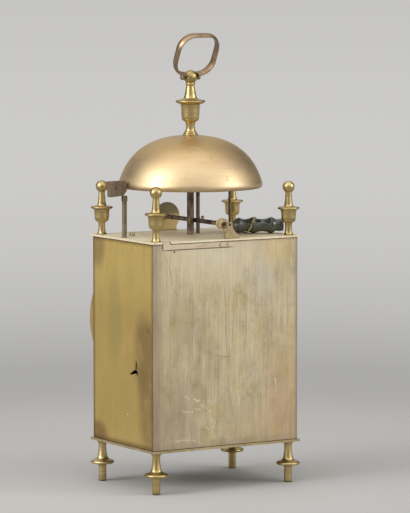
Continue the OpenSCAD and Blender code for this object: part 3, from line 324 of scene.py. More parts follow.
def agedBrass(name, look):
    s = Shader(name)
    look = {**usualLook, **look}
    grain = look["grain"]
    broad = s.between(s.noise(look["patch"], 5, 0.6, warp=0.6), 0.32, 0.68)
    streak = s.between(s.noise(1, 5, 0.6, s.stretch(grain)), 0.32, 0.72)
    fine = s.noise(1, 3, 0.6, s.stretch([g * 4 for g in grain]))
    speck = s.between(s.noise(look["speckSize"], 2, 0.5), 0.68, 0.78)
    colour = s.blend(s.times(broad, look["vary"]), look["base"], look["light"])
    colour = s.tint(colour, streak, look["streaks"], look["dark"])
    colour = s.tint(colour, s.between(fine, 0.5, 0.75), look["fine"], look["dark"])
    colour = s.tint(colour, speck, look["specks"], look["stain"])
    rough = s.sum("ADD", s.times(streak, 0.08), s.times(broad, 0.05))
    rough = s.sum("ADD", rough, look["rough"])
    if "marks" in look:
        colour = look["marks"](s, colour)
    # painted shade with grime: tight corners and gaps between parts go towards the stain colour, where shade
    # falls, and get rougher
    grime = s.times(s.corners(look["reach"]), look["grime"])
    colour = s.blend(grime, colour, look["stain"])
    rough = s.sum("ADD", rough, s.times(grime, 0.3))
    rough = s.sum("ADD", rough, s.times(speck, 0.15), clamp=True)
    height = s.sum("ADD", s.times(fine, look["scratch"]), s.noise(look["dents"], 3))
    return s.surface({"Base Color": colour, "Roughness": rough, "Metallic": look["metal"],
                      "Coat Weight": look["coat"], "Coat Roughness": 0.12,
                      "Normal": s.bump(height, look["bump"], look["depth"])})


print("helpers ready")


# Wear, with painted shade and painted light among it, on the back door, the side doors, the bell and the
# front cock, as the photograph shows them; places in mm
doorScratches = [((33.1, 65.1), (29.2, 61.9), 0.5, 0.4), ((26.4, 62.1), (22.5, 59.6), 0.55, 0.8),
                 ((24.8, 62.7), (20.9, 61.2), 0.5, -0.6), ((24, 60), (20.9, 60.5), 0.55, 0.5),
                 ((20.9, 58.5), (11.4, 51.6), 0.5, 0.7), ((25.6, 56.3), (20.5, 55.4), 0.4, -0.4),
                 ((36.3, 55.8), (27.2, 54), 0.45, -0.8), ((26.4, 54.7), (28.8, 50.8), 0.5, 0.3),
                 ((13, 48.6), (9, 45.7), 0.4, -0.5), ((9, 46.4), (11.4, 41.8), 0.5, 0.5),
                 ((17.7, 43.5), (13.8, 41.2), 0.4, 0.2), ((11.8, 49.9), (11.4, 33.7), 0.35, 0.2),
                 ((41.4, 34.5), (27.2, 34.8), 0.35, 0.8), ((27.2, 34.8), (19.3, 31.7), 0.4, 0.5),
                 ((-8.8, 66.4), (-10, 54.2), 0.5, 0.2), ((-38, 73.1), (-39.2, 58.2), 0.5, 0.3)]
doorLines = [((48.5, 159.1), (42.2, 136.5), 0.4, 1.5), ((42.2, 136.5), (37.5, 130.2), 0.3, 0.3),
             ((3.2, 145), (0.8, 120), 0.35, 0.3), ((0.8, 122), (-0.1, 91.2), 0.4, -0.4),
             ((9, 90.5), (-4.4, 89), 0.6, -0.8)]


def backMarks(s, colour):
    for scale, move, strength, tint in (
            ((2, 1, 1.3), (0, 0, 0), 0.5, tone(186, 168, 104)),
            ((1, 1, 0.7), (3, 1, 2), 0.45, tone(164, 158, 146)),
            ((1.4, 1, 0.9), (7, 4, 1), 0.35, tone(156, 134, 100))):
        cloud = s.between(s.noise(24, 6, 0.62, s.stretch(scale, move=move), warp=0.7), 0.46, 0.68)
        colour = s.tint(colour, cloud, strength, tint)
    for scale, move, low, strength, tint in (
            ((520, 400, 14), (0, 0, 0), 0.48, 0.55, tone(220, 208, 176)),
            ((700, 400, 30), (5, 2, 3), 0.5, 0.5, tone(134, 116, 88)),
            ((180, 400, 12), (2, 8, 3), 0.5, 0.35, tone(204, 184, 122)),
            ((60, 400, 420), (1, 2, 3), 0.56, 0.22, tone(142, 124, 94))):
        brush = s.between(s.noise(1, 4, 0.75, s.stretch(scale, move=move)), low, low + 0.2)
        colour = s.tint(colour, brush, strength, tint)
    mottle = s.noise(110, 7, 0.7, s.stretch((1, 1, 0.7)), warp=0.4)
    colour = s.tint(colour, s.between(mottle, 0.5, 0.68), 0.4, tone(150, 134, 106))
    colour = s.tint(colour, s.between(mottle, 0.48, 0.34), 0.4, tone(214, 202, 168))
    for centre, radii, strength, tint in (
            ((-46, 40, 60), (26, 30, 64), 0.45, tone(196, 158, 122)),
            ((-26, 40, 40), (40, 30, 26), 0.35, tone(188, 158, 126)),
            ((-40, 40, 158), (22, 30, 18), 0.5, tone(222, 194, 138)),
            ((-28, 40, 140), (12, 30, 24), 0.35, tone(190, 192, 190)),
            ((10, 40, 158), (60, 30, 36), 0.6, tone(224, 212, 186)),
            ((40, 40, 52), (30, 30, 46), 0.55, tone(154, 136, 110)),
            ((34, 40, 112), (26, 30, 34), 0.4, tone(160, 142, 106))):
        colour = s.tint(colour, s.blob(centre, radii), strength, tint)
    # darker bands along the bottom and the left and right edges; the last, a thin dark line along the door's
    # top, is painted shadow under the top plate's overhang
    top = boxOf("back_door")[1][2]
    for axis, at, width, strength in (
            (2, 31, 5, 0.3), (0, -56, 3.5, 0.6), (0, 55.5, 9, 0.5), (2, top, 0.9, 0.9)):
        colour = s.tint(colour, s.edge(axis, at, width), strength, tone(138, 120, 106))
    # painted shadow with dirt: a dark line on the door along the catch's lower edge
    (left, _, low), (right, _, _) = boxOf("back_catch")
    rim = s.stroke(0, (left - 0.5, low - 0.25), (right + 0.5, low - 0.25), 0.7)
    colour = s.tint(colour, rim, 0.8, tone(70, 52, 36))
    colour = s.tint(colour, s.strokes(0, doorLines), 0.55, tone(98, 78, 52))
    colour = s.tint(colour, s.strokes(0, doorScratches), 0.75, tone(240, 230, 196))
    colour = s.blend(s.blob((40.6, 40, 160.4), (0.8, 6, 0.8), 0.5), colour, tone(38, 30, 24))
    return colour


def sideMarks(s, colour):
    low = s.between(s.axes()[2], 0.15, 0.11)
    colour = s.tint(colour, low, 0.45, tone(176, 149, 86))
    cloud = s.between(s.noise(50, 5, 0.6, warp=0.5), 0.22, 0.5)
    for centre, radii, strength, tint in (
            ((56, 27, 92), (30, 17, 36), 0.7, tone(134, 108, 70)),
            ((56, 34, 58), (30, 18, 44), 0.7, tone(148, 120, 78)),
            ((56, -34, 160), (20, 14, 20), 0.6, tone(140, 116, 78)),
            ((56, -34, 33), (20, 18, 12), 0.7, tone(124, 92, 60)),
            ((56, -10, 112), (20, 12, 44), 0.4, tone(164, 150, 88)),
            ((56, 4, 54), (20, 16, 26), 0.3, tone(190, 168, 96))):
        colour = s.tint(colour, s.times(s.blob(centre, radii, 0.6), cloud), strength, tint)
    rust = s.between(s.noise(1, 4, 0.7, s.stretch((400, 600, 160))), 0.5, 0.66)
    colour = s.tint(colour, s.times(s.blob((56, 33, 104), (14, 8, 20)), rust), 0.8, tone(116, 72, 34))
    # darker bands along the door's edges, top and bottom; the last, a thin dark line along the door's top, is
    # painted shadow under the top plate's overhang
    top = boxOf("right_door")[1][2]
    for axis, at, width, strength in (
            (1, 39.5, 5, 0.6), (1, -39, 3.6, 0.85), (2, top, 3, 0.6), (2, 30.5, 3, 0.6), (2, top, 0.9, 0.9)):
        colour = s.tint(colour, s.edge(axis, at, width), strength, tone(112, 84, 50))
    colour = s.blend(s.blob((56, 6.5, 50.5), (6, 0.9, 0.9), 0.6), colour, tone(244, 232, 190))
    return colour


def bellMarks(s, colour):
    # painted light and shade: towards the bell's top the colour goes darker and deeper gold, and the lower
    # dome, where the highlights fall, stays paler
    colour = s.tint(colour, s.between(s.axes()[2], 0.212, 0.232), 0.75, tone(196, 164, 108))
    turned = s.between(s.noise(1, 3, 0.6, s.stretch((3, 3, 1100))), 0.5, 0.75)
    colour = s.tint(colour, turned, 0.2, tone(150, 116, 74))
    pink = s.between(s.noise(30, 4, 0.6, warp=0.5), 0.4, 0.62)
    colour = s.tint(colour, s.times(s.blob((-24, 40, 214), (46, 50, 20)), pink), 0.45, tone(196, 160, 132))
    arc = s.stroke(0, (18, 228), (12, 222.5), 0.5, 2.2)
    colour = s.tint(colour, arc, 0.45, tone(236, 214, 172))
    colour = s.tint(colour, s.edge(2, 199.2, 1.6), 0.5, tone(150, 118, 72))
    return colour


def cockMarks(s, colour):
    # painted light: the cock's lower part lighter and yellower, as lit, against its greyer upper disc
    low = s.between(s.axes()[2], 0.1795, 0.1765)
    return s.tint(colour, low, 0.75, tone(226, 202, 142))


# Finishes
def lookOf(base, light, dark, stain, **rest):
    return {"base": tone(*base), "light": tone(*light), "dark": tone(*dark), "stain": tone(*stain), **rest}


looks = {
    "sideBrass": lookOf((212, 184, 110), (220, 194, 122), (180, 152, 86), (84, 60, 38),
        grain=(90, 90, 12), rough=0.42, marks=sideMarks, metal=0.75, reach=1.6),
    "backBrass": lookOf((204, 188, 154), (210, 198, 168), (166, 148, 114), (92, 70, 50),
        grain=(220, 180, 18), rough=0.45, marks=backMarks, metal=0.75, reach=1.2, bump=0.08, specks=0.2,
        streaks=0.3),
    # paler and less metallic than the other brass: the plates' own worn tone with painted sheen, lighter to
    # stand in for the bright grazing reflection on the deck and to lift the shade cast on it
    "deckBrass": lookOf((232, 218, 184), (238, 228, 200), (196, 178, 140), (74, 54, 36),
        grain=(90, 60, 90), rough=0.5, metal=0.35),
    "turnedBrass": lookOf((194, 170, 114), (210, 190, 140), (136, 112, 66), (62, 42, 26),
        grain=(20, 20, 220), rough=0.28, streaks=0.5, bump=0.04, scratch=0.0, grime=0.9, reach=3),
    "bellBrass": lookOf((206, 180, 140), (212, 190, 152), (180, 150, 108), (96, 70, 50),
        grain=(24, 24, 150), rough=0.37, marks=bellMarks, speckSize=260, streaks=0.2, fine=0.1, bump=0.04,
        grime=0.3, metal=0.95),
    "ringBrass": lookOf((158, 132, 102), (180, 156, 124), (100, 78, 58), (50, 36, 28),
        grain=(120, 120, 120), rough=0.34, bump=0.05, scratch=0.0, grime=0.8),
    "movementBrass": lookOf((200, 164, 92), (212, 182, 120), (140, 104, 54), (90, 60, 36),
        grain=(160, 160, 20), rough=0.3),
    "cockBrass": lookOf((150, 142, 108), (160, 152, 118), (116, 106, 76), (60, 48, 34),
        grain=(90, 90, 30), rough=0.5, metal=0.7, marks=cockMarks),
    "bracketBrass": lookOf((176, 158, 118), (190, 174, 136), (112, 92, 60), (56, 42, 30),
        grain=(90, 90, 60), rough=0.45, metal=0.8, grime=0.9, reach=4),
    "catchBrass": lookOf((212, 194, 164), (222, 206, 182), (150, 128, 100), (60, 42, 30),
        grain=(40, 200, 300), rough=0.45, metal=0.75, grime=0.9, reach=1.4),
    "oldSteel": lookOf((84, 72, 62), (176, 152, 128), (34, 27, 23), (70, 40, 26), grain=(420, 420, 26),
        rough=0.45, streaks=0.9, metal=0.55, patch=160),
    "hammerSteel": lookOf((122, 104, 82), (146, 130, 106), (72, 58, 44), (70, 44, 30),
        grain=(300, 300, 120), rough=0.55, metal=0.6, patch=120, bump=0.35),
    "bezelBrass": lookOf((204, 172, 104), (216, 188, 124), (150, 120, 66), (70, 46, 28),
        grain=(110, 110, 110), rough=0.34, streaks=0.25, metal=0.8, bump=0.05, scratch=0.0, grime=0.7),
    "blueSteel": lookOf((34, 40, 70), (50, 60, 96), (18, 20, 36), (20, 18, 24), grain=(200, 200, 200),
        rough=0.25),
    "darkHorn": lookOf((56, 60, 52), (104, 108, 98), (24, 26, 22), (14, 14, 12), grain=(60, 200, 200),
        rough=0.26, metal=0.0, grime=0.9, reach=1.6, coat=0.8, bump=0.05),
    "enamelWhite": lookOf((232, 228, 216), (238, 235, 226), (220, 212, 194), (190, 176, 150),
        grain=(40, 40, 40), rough=0.12, metal=0.0, bump=0.03),
}
finishes = {name: agedBrass(name, look) for name, look in looks.items()}


def glassMaterial():
    s = Shader("clearGlass")
    return s.surface({"Base Color": (0.95, 0.97, 0.97, 1), "Transmission Weight": 1, "IOR": 1.46,
                      "Roughness": s.between(s.noise(40), 0.4, 0.8, (0.02, 0.08))})


finishes["clearGlass"] = glassMaterial()
finishOf = {
    "side_brass": "sideBrass", "back_brass": "backBrass", "deck_brass": "deckBrass",
    "turned_brass": "turnedBrass", "bell_brass": "bellBrass", "ring_brass": "ringBrass",
    "bezel_brass": "bezelBrass", "movement_brass": "movementBrass", "old_steel": "oldSteel",
    "blued_steel": "blueSteel", "enamel": "enamelWhite", "clear_glass": "clearGlass", "horn": "darkHorn",
    "cord": "turnedBrass",
}
ownFinish = {"front_cock": "cockBrass", "strike_hammer": "hammerSteel", "rear_bracket": "bracketBrass",
             "back_catch": "catchBrass", "catch_rivets": "catchBrass", "bottom_plate": "bracketBrass"}
slotOf = {part["node"]: part["material_slot"] for part in frame["record"]["subparts"]}
bodyOf = {n: body for body, names in frame["record"]["behaviour"]["bodies"].items() for n in names}


def finishFor(node):
    return finishes[ownFinish.get(node, finishOf[slotOf[node]])]


def standIn(piece, node):
    # the piece takes the place of a CAD node, with its body and finish
    place(piece, bodyOf[node], slotOf[node], finishFor(node), node)


for name in slotOf:
    nodes[name].data.materials.clear()
    nodes[name].data.materials.append(finishFor(name))
print("finishes on", len(slotOf), "nodes")


# Sheet and milled pieces keep their shape and get broken edges
softEdges = {"top_plate": 0.3, "bottom_plate": 0.4, "back_door": 0.22, "right_door": 0.22,
             "left_door": 0.22, "front_panel": 0.2, "back_catch": 0.15, "rear_bracket": 0.25,
             "front_cock": 0.25, "strike_hammer": 0.3}


def softEdged(node, width):
    piece = linked(node + "Edges", nodes[node].data.copy())
    b = bmesh.new()
    b.from_mesh(piece.data)
    bmesh.ops.remove_doubles(b, verts=b.verts, dist=2e-6)
    bmesh.ops.dissolve_limit(b, angle_limit=math.radians(1), verts=b.verts, edges=b.edges)
    b.to_mesh(piece.data)
    b.free()
    shadeByAngle(piece, 35)
    worn = piece.modifiers.new("brokenEdges", "BEVEL")
    worn.width = width * mm
    worn.segments = 2
    worn.limit_method = "ANGLE"
    worn.angle_limit = math.radians(40)
    worn.harden_normals = True
    bake(piece)
    standIn(piece, node)


for node, width in softEdges.items():
    softEdged(node, width)
print("broken edges on", len(softEdges), "pieces")


# Turned feet and finials, one shape each, repeated at the four corners
deckTop = boxOf("top_plate")[1][2]
footBox = boxOf("feet")
foot = {"disc": 8, "stem": 2.6, "discUp": 11.3, "height": boxOf("bottom_plate")[0][2], "spigot": 1.45}
finial = {"height": boxOf("finials")[1][2] - deckTop, "ball": 4.05, "rim": 7.4, "rimUp": 18.4, "neck": 2.15,
          "spigot": 1.45}
corner = {"x": footBox[1][0] - foot["disc"], "y": footBox[1][1] - foot["disc"]}


def footLine(f):
    r, d, h = f["stem"], f["discUp"], f["height"]
    return profileOf([
        [(0, 0), (r - 0.35, 0)], [(r - 0.35, 0), (r - 0.05, 0.3)], [(r, 0.6), (r, d - 0.4)],
        [(r, d), (f["disc"] - 2.6, d + 0.25)],
        [(f["disc"] - 2.6, d + 0.25), (f["disc"] - 0.7, d + 0.7), (f["disc"] - 0.05, d + 1.7),
         (f["disc"] - 0.8, d + 2.7), (f["disc"] - 2.8, d + 3.3)],
        [(f["disc"] - 2.8, d + 3.35), (r + 2, d + 3.7), (r + 1.1, d + 4.6), (r + 0.6, d + 6.6),
         (r + 0.15, d + 9.5), (r, d + 12), (r + 0.05, h - 2.1), (r + 0.35, h - 1.6)],
        [(r + 0.85, h - 1.4), (r + 0.85, h - 0.05)], [(f["spigot"], h), (f["spigot"], h + 5)],
        [(0, h + 5)]])


def finialLine(f):
    b, rim, up, h, neck = f["ball"], f["rim"], f["rimUp"], f["height"], f["neck"]
    return profileOf([
        [(0, -6), (f["spigot"], -6)], [(f["spigot"], 0), (3.3, 0)],
        [(3.3, 0.4), (2.8, 1.1), (2.45, 2.6), (2.3, 5), (2.35, 7), (2.65, 8.3)],
        [(2.65, 8.3), (3.7, 8.7), (4.5, 9.6), (4.85, 11), (4.95, 13.2), (5.15, 15.6), (5.45, up - 1.5)],
        [(5.7, up - 1.45), (rim - 0.6, up - 1.1), (rim - 0.05, up - 0.55), (rim - 0.05, up),
         (rim - 0.5, up + 0.4)],
        [(rim - 0.6, up + 0.4), (5.2, up + 0.45), (3.9, up + 0.7), (3.3, up + 1.1)],
        [(3.2, up + 1.2), (2.85, up + 2), (2.6, up + 4), (2.35, up + 7), (neck, h - 2 * b - 0.2)],
        ballLine(b, h - b, -math.degrees(math.acos(neck / b)))])


def newTree(name, **inputs):
    # a Geometry Nodes group with named inputs, each of the kind that is given
    tree = bpy.data.node_groups.new(name, "GeometryNodeTree")
    tree.interface.new_socket("Geometry", in_out="INPUT", socket_type="NodeSocketGeometry")
    for key, kind in {**inputs, "Finish": "Material"}.items():
        tree.interface.new_socket(key, in_out="INPUT", socket_type="NodeSocket" + kind)
    tree.interface.new_socket("Geometry", in_out="OUTPUT", socket_type="NodeSocketGeometry")
    return tree, tree.nodes.new("NodeGroupInput").outputs


def closeTree(tree, given, geometry):
    # copies made real, with the finish that is given
    whole = built(tree, "GeometryNodeRealizeInstances", {0: geometry})
    finish = built(tree, "GeometryNodeSetMaterial", {0: whole.outputs[0], "Material": given["Finish"]})
    built(tree, "NodeGroupOutput", {0: finish.outputs[0]})
    return tree


def withInputs(piece, tree, values):
    # a Geometry Nodes modifier with its inputs set by the sockets' identifiers
    modifier = piece.modifiers.new("nodes", "NODES")
    modifier.node_group = tree
    for item in tree.interface.items_tree:
        if item.in_out == "INPUT" and item.name in values:
            modifier[item.identifier] = values[item.name]
    return bake(piece)


def cornerTree(part):
    tree, given = newTree(part.name + "AtCorners", Across="Float", Deep="Float", Height="Float")
    grid = built(tree, "GeometryNodeMeshGrid", {"Vertices X": 2, "Vertices Y": 2, "Size X": given["Across"],
                                                "Size Y": given["Deep"]})
    lift = built(tree, "ShaderNodeCombineXYZ", {"Z": given["Height"]})
    up = built(tree, "GeometryNodeSetPosition", {"Geometry": grid.outputs[0], "Offset": lift.outputs[0]})
    shape = built(tree, "GeometryNodeObjectInfo", {"Object": part})
    turn = built(tree, "FunctionNodeRandomValue", {"Min": (0, 0, 0), "Max": (0, 0, 6.28), "Seed": 4},
                 data_type="FLOAT_VECTOR")
    stand = built(tree, "GeometryNodeInstanceOnPoints",
                  {"Points": up.outputs[0], "Instance": shape.outputs["Geometry"],
                   "Rotation": turn.outputs[0]})
    return closeTree(tree, given, stand.outputs[0])


def atCorners(name, line, node, height):
    part = lathe(name + "Shape", line)
    values = {"Across": 2 * corner["x"] * mm, "Deep": 2 * corner["y"] * mm, "Height": height * mm,
              "Finish": finishFor(node)}
    holder = withInputs(meshPiece(name, [(0, 0, 0)], []), cornerTree(part), values)
    bpy.data.objects.remove(part)
    shadeByAngle(holder, 38)
    standIn(holder, node)


atCorners("turnedFeet", footLine(foot), "feet", 0)
atCorners("turnedFinials", finialLine(finial), "finials", deckTop)
print("feet and finials turned")


# Two pin ends that stand on the top plate beside the strike hammer
deckPins = {"places": [(42, -14.8), (39.8, -13.8)], "radius": 0.8, "height": 2.5}


def makeDeckPins(d):
    r, h = d["radius"], d["height"]
    line = profileOf([[(0, -0.3), (r, -0.3)], [(r, h - 0.4), (r - 0.15, h - 0.1), (r - 0.4, h)], [(0, h)]])
    pins = joined("deckPins", [moved(lathe("pin", line, 24), (x, y, deckTop)) for x, y in d["places"]])
    shadeByAngle(pins, 40)
    place(pins, bodyOf["top_plate"], slotOf["top_plate"], finishes["bracketBrass"])


makeDeckPins(deckPins)


# Cord and the arbor that it is wound on, as part.scad has them
cord = {"pull": (-2.3, deckTop + 9.3), "windY": 33.4, "inner": 2.0, "outer": 3.25, "pitch": 1.2, "turns": 4,
        "back": 3.125, "perTurn": 24, "diameter": 1.0, "offDeck": 0.05, "lay": 1.9, "step": 0.19,
        "strands": 3, "sides": 15, "body": 0.49, "swell": 0.09}


# Small pin with a round head on the pull arbor
arborPin = {"at": 5.8, "radius": 0.55, "head": 1.0, "height": 2.7}


def makeArborPin(p):
    r, h = p["radius"], p["height"]
    line = [(0, 0.3), (r, 0.3)] + ballLine(p["head"], h, -math.degrees(math.acos(r / p["head"])))
    pin = moved(lathe("arborPin", line, 24), (cord["pull"][0], p["at"], cord["pull"][1]))
    place(pin, bodyOf["pull_arbor"], slotOf["pull_arbor"], finishFor("pull_arbor"))


makeArborPin(arborPin)


# Bell, its washer and the top finial on the post's axis
post = {"x": 1.8, "y": -3}
bell = {"radius": 48.5, "height": 32.8, "wall": 1.8, "lip": 2.3, "hole": 1.7, "lean": 7.2,
        "shoulder": (27, 33), "crown": 20, "flat": (5.6, 4.4), "shave": 0.03}


def onPost(piece, height):
    return moved(piece, (post["x"], post["y"], height))


def bellCurve(bell, flat, r, h, steps=40):
    # a cubic line from the rim over the shoulder to the flat of the crown
    part, whole = bell["shoulder"]
    a, b, c, d = (r, 0), (r - bell["lean"], part * h / whole), (bell["crown"], h), (0, h)
    line = []
    for k in range(steps + 1):
        t = k / steps
        w = ((1 - t) ** 3, 3 * (1 - t) ** 2 * t, 3 * (1 - t) * t * t, t ** 3)
        line.append(tuple(sum(f * p[i] for f, p in zip(w, (a, b, c, d))) for i in (0, 1)))
    return [p for p in line if p[0] > flat]


def makeBell(b):
    r, w, h = b["radius"], b["wall"], b["height"]
    outer = bellCurve(b, b["flat"][0], r - b["shave"], h)
    inner = bellCurve(b, b["flat"][1], r - w, h - w)
    lip = smoothLine([(r - w - 0.3, -b["lip"] / 2), (r - 2.1, 0.35 - b["lip"]), (r - 1.5, 0.05 - b["lip"]),
                      (r - 0.9, 0.35 - b["lip"]), (r - 0.35, -b["lip"] / 2), outer[0]], 4)
    line = lip + outer[1:] + [(5.2, h), (b["hole"], h), (b["hole"], h - w), (4.2, h - w)] + inner[::-1]
    piece = lathe("spunBell", line + [line[0]], 160, 60)
    standIn(onPost(piece, boxOf("bell")[1][2] - h), "bell")


makeBell(bell)
washer = profileOf([[(1.7, 0.02), (5.1, 0.02)], [(5.2, 0.1), (5.15, 0.4), (4.9, 0.7), (4.5, 0.95)],
                    [(1.7, 0.98)]])
standIn(onPost(lathe("roundWasher", washer + [washer[0]]), boxOf("bell_washer")[0][2]), "bell_washer")

crown = {"seat": boxOf("top_finial")[0][2], "ball": 4.6, "rim": 10, "cupUp": 22, "neck": 2.75, "pivot": 37.8}


def crownLine(c):
    up, rim, b, neck = c["cupUp"], c["rim"], c["ball"], c["neck"]
    return profileOf([
        [(0, 0), (4.4, 0)], [(4.45, 0.3), (4.3, 0.8), (3.6, 1.4)],
        [(3.5, 1.6), (3.15, 2.8), (3.05, 4.4), (3.2, 6.6), (3.7, 8.1)],
        [(3.7, 8.1), (5, 8.6), (5.75, 9.8), (6, 11.4), (6.1, 14), (6.3, 17), (6.6, up - 2.4)],
        [(6.9, up - 2.3), (8.4, up - 1.9), (rim - 0.6, up - 1.3), (rim - 0.05, up - 0.7),
         (rim - 0.05, up - 0.1), (rim - 0.6, up + 0.3)],
        [(rim - 0.7, up + 0.3), (7.2, up + 0.6), (5.2, up + 1.3)],
        [(4.5, up + 1.7), (4.05, up + 3), (3.4, up + 6), (2.85, up + 9.2), (2.8, up + 10.3)],
        [(3.05, up + 10.6), (3.15, up + 11.1), (3.05, up + 11.5)],
        ballLine(b, c["pivot"], -math.degrees(math.acos(neck / b)))])


standIn(onPost(lathe("turnedTop", crownLine(crown), 72), crown["seat"]), "top_finial")
print("bell and top finial turned")


# Carrying ring: a half-round strip bent to a loop
ring = {"width": 32, "length": 32.5, "strip": 5.4, "thick": 1.8, "corner": 11.5, "bar": 1.1, "lean": 26,
        "ballGap": 4.95, "sunk": 0.6, "boss": 1.9, "bossLong": 2.4, "pin": 1.1}


def loopPoints(g, steps=12):
    # points and outward directions, from one end at the ball round to the other
    w, r, low = g["width"] / 2 - g["corner"], g["corner"], g["bar"]
    top, end = g["length"] - r, g["ballGap"] - g["sunk"]
    line = [((end, low), (0, -1))]
    for cx, cz, a0 in ((w, low + r, -90), (w, top, 0), (-w, top, 90), (-w, low + r, 180)):
        for k in range(steps + 1):
            a = math.radians(a0 + 90 * k / steps)
            line.append(((cx + r * math.cos(a), cz + r * math.sin(a)), (math.cos(a), math.sin(a))))
    return line + [((-end, low), (0, -1))]


def stripSection(g):
    # depth in from the outer face, and place across the strip
    t, half = g["thick"], g["strip"] / 2
    bulge = [(t * 0.5 * (k / 5) ** 2, half * k / 5) for k in range(-5, 6)]
    return bulge + [(t * 0.75, half), (t - 0.15, half - 0.15), (t, half - 0.6), (t, 0.6 - half),
                    (t - 0.15, 0.15 - half), (t * 0.75, -half)]


def makeRing(g):
    section, line = stripSection(g), loopPoints(g)
    n = len(section)
    points = [(x - nx * a, b, z - nz * a) for (x, z), (nx, nz) in line for a, b in section]
    faces = [[i * n + k, i * n + (k + 1) % n, (i + 1) * n + (k + 1) % n, (i + 1) * n + k]
             for i in range(len(line) - 1) for k in range(n)]
    faces += [list(range(n)), list(range((len(line) - 1) * n, len(line) * n))]
    loop = meshPiece("loop", points, faces)
    bossLine = profileOf([[(0, 0), (g["boss"] - 0.3, 0)], [(g["boss"] - 0.3, 0), (g["boss"], 0.3)],
                          [(g["boss"], 0.5), (g["boss"], g["bossLong"] - 0.5)],
                          [(g["boss"], g["bossLong"] - 0.4), (g["boss"] - 0.5, g["bossLong"] - 0.05)],
                          [(0, g["bossLong"])]])
    quarter = Vector((1, 0, 0)).to_track_quat("Z", "Y")
    pieces = [loop]
    for s in (1, -1):
        side = Vector((s, 0, 0)).to_track_quat("Z", "Y")
        pieces.append(moved(lathe("boss", bossLine, 32), (s * g["ballGap"], 0, 0), side))
    reach = g["ballGap"] + 1
    pin = lathe("pin", [(0, -reach), (g["pin"], -reach), (g["pin"], reach), (0, reach)], 32)
    pieces.append(moved(pin, (0, 0, 0), quarter))
    piece = joined("bentRing", pieces)
    outwards(piece)
    tilt = Vector((0, 0, 1)).rotation_difference(
        Vector((0, math.sin(math.radians(g["lean"])), math.cos(math.radians(g["lean"])))))
    moved(piece, (0, 0, 0), tilt)
    onPost(piece, crown["seat"] + crown["pivot"])
    shadeByAngle(piece, 40)
    standIn(piece, "carrying_ring")


makeRing(ring)
print("ring bent")


# Toggle of dark horn, turned, with a notch and a hole for the cord
toggle = {"place": (-39.9, 14.5), "yaw": -28, "half": 18, "radius": 5.6, "waist": 4.25, "hole": 1.3, "cut": 9,
          "notches": [((4, 5.2, 6), (0.4, 0.6, 5.8)), ((3.4, 8, 6), (-0.7, 2, 5.2))]}


def toggleLine(t):
    h, r, w = t["half"], t["radius"], t["waist"]
    return profileOf([
        [(0, -h), (3, -h)], [(3, -h), (3.9, -h + 0.3), (4.15, -h + 1.2), (4.15, -h + 3.2), (3.9, -h + 4.8)],
        [(3.9, -h + 5.1), (4.3, -h + 5.9), (5.2, -h + 7.3), (r, -h + 8.3), (5.4, -h + 9.2), (4.7, -h + 11),
         (w, -h + 13.4), (w, -h + 15.2), (w + 0.45, -h + 17.6), (5.35, -h + 19.5), (r, -h + 20.4),
         (5.35, -h + 21.3), (w + 0.3, -h + 23.6), (w - 0.15, -h + 25.4), (w - 0.1, -h + 27),
         (w + 0.35, -h + 28.6), (5, h - 6.5)],
        [(5.1, h - 6.3), (5.1, h - 5.6)],
        [(5, h - 5.4), (4.6, h - 4.2), (3.8, h - 3), (2.6, h - 1.6), (1.4, h - 0.6), (0, h - 0.1)]])


def makeToggle(t):
    piece = lathe("turnedToggle", toggleLine(t), 80)
    along = Vector((1, 0, 0)).to_track_quat("Z", "Y")
    moved(piece, (0, 0, 0), along)
    outwards(piece)
    sides = [(0, 1, 3, 2), (4, 6, 7, 5), (0, 4, 5, 1), (2, 3, 7, 6), (0, 2, 6, 4), (1, 5, 7, 3)]
    r, h = t["hole"], t["cut"]
    cutters = [lathe("hole", [(0, -h), (r, -h), (r, h), (0, h)], 24)]
    for size, middle in t["notches"]:
        box = [tuple(m + s * v / 2 for m, s, v in zip(middle, signs, size))
               for signs in ((x, y, z) for x in (-1, 1) for y in (-1, 1) for z in (-1, 1))]
        cutters.append(meshPiece("notch", box, sides, False))
    for cutter in cutters:
        outwards(cutter)
        cut = piece.modifiers.new("cut", "BOOLEAN")
        cut.object = cutter
        cut.operation = "DIFFERENCE"
        cut.solver = "EXACT"
    bake(piece)
    for cutter in cutters:
        bpy.data.objects.remove(cutter)
    yaw = Vector((1, 0, 0)).rotation_difference(
        Vector((math.cos(math.radians(t["yaw"])), math.sin(math.radians(t["yaw"])), 0)))
    moved(piece, (*t["place"], deckTop + t["radius"]), yaw)
    shadeByAngle(piece, 38)
    standIn(piece, "toggle")


makeToggle(toggle)
print("toggle turned")


# Hour figures and minute track, which follow the dial's dome
dial = {"dome": 1.2, "figures": ["XII", "I", "II", "III", "IIII", "V", "VI", "VII", "VIII", "IX", "X", "XI"],
        "size": 8.6, "at": 33.8, "bold": 0.22, "proud": 0.06, "track": (39.2, 41.4), "line": 0.25,
        "minutes": 60, "minuteWide": 0.3, "hourWide": 0.9, "narrow": 0.86}


def onDial(piece, d):
    # from the XY plane onto the face of the dial, with the thickness outwards
    low, high = boxOf("dial")
    middle, radius = (low[2] + high[2]) / 2, (high[0] - low[0]) / 2
    for v in piece.data.vertices:
        x, y, z = v.co / mm
        sag = d["dome"] * (x * x + y * y) / radius ** 2
        v.co = Vector((x, low[1] + sag - z - d["proud"] / 2, middle + y)) * mm
    outwards(piece)
    return piece


def makeFigure(d, word, angle):
    data = bpy.data.curves.new("figure" + word, "FONT")
    data.body = word
    data.size = d["size"] * mm
    data.align_x, data.align_y = "CENTER", "CENTER"
    data.extrude = d["proud"] * mm / 2
    data.offset = d["bold"] * mm / 4
    figure = bake(linked("figure" + word, data))
    c, s = math.cos(angle), math.sin(angle)
    for v in figure.data.vertices:
        x, y = v.co.x * d["narrow"], v.co.y + d["at"] * mm
        v.co.x, v.co.y = x * c + y * s, y * c - x * s
    return figure


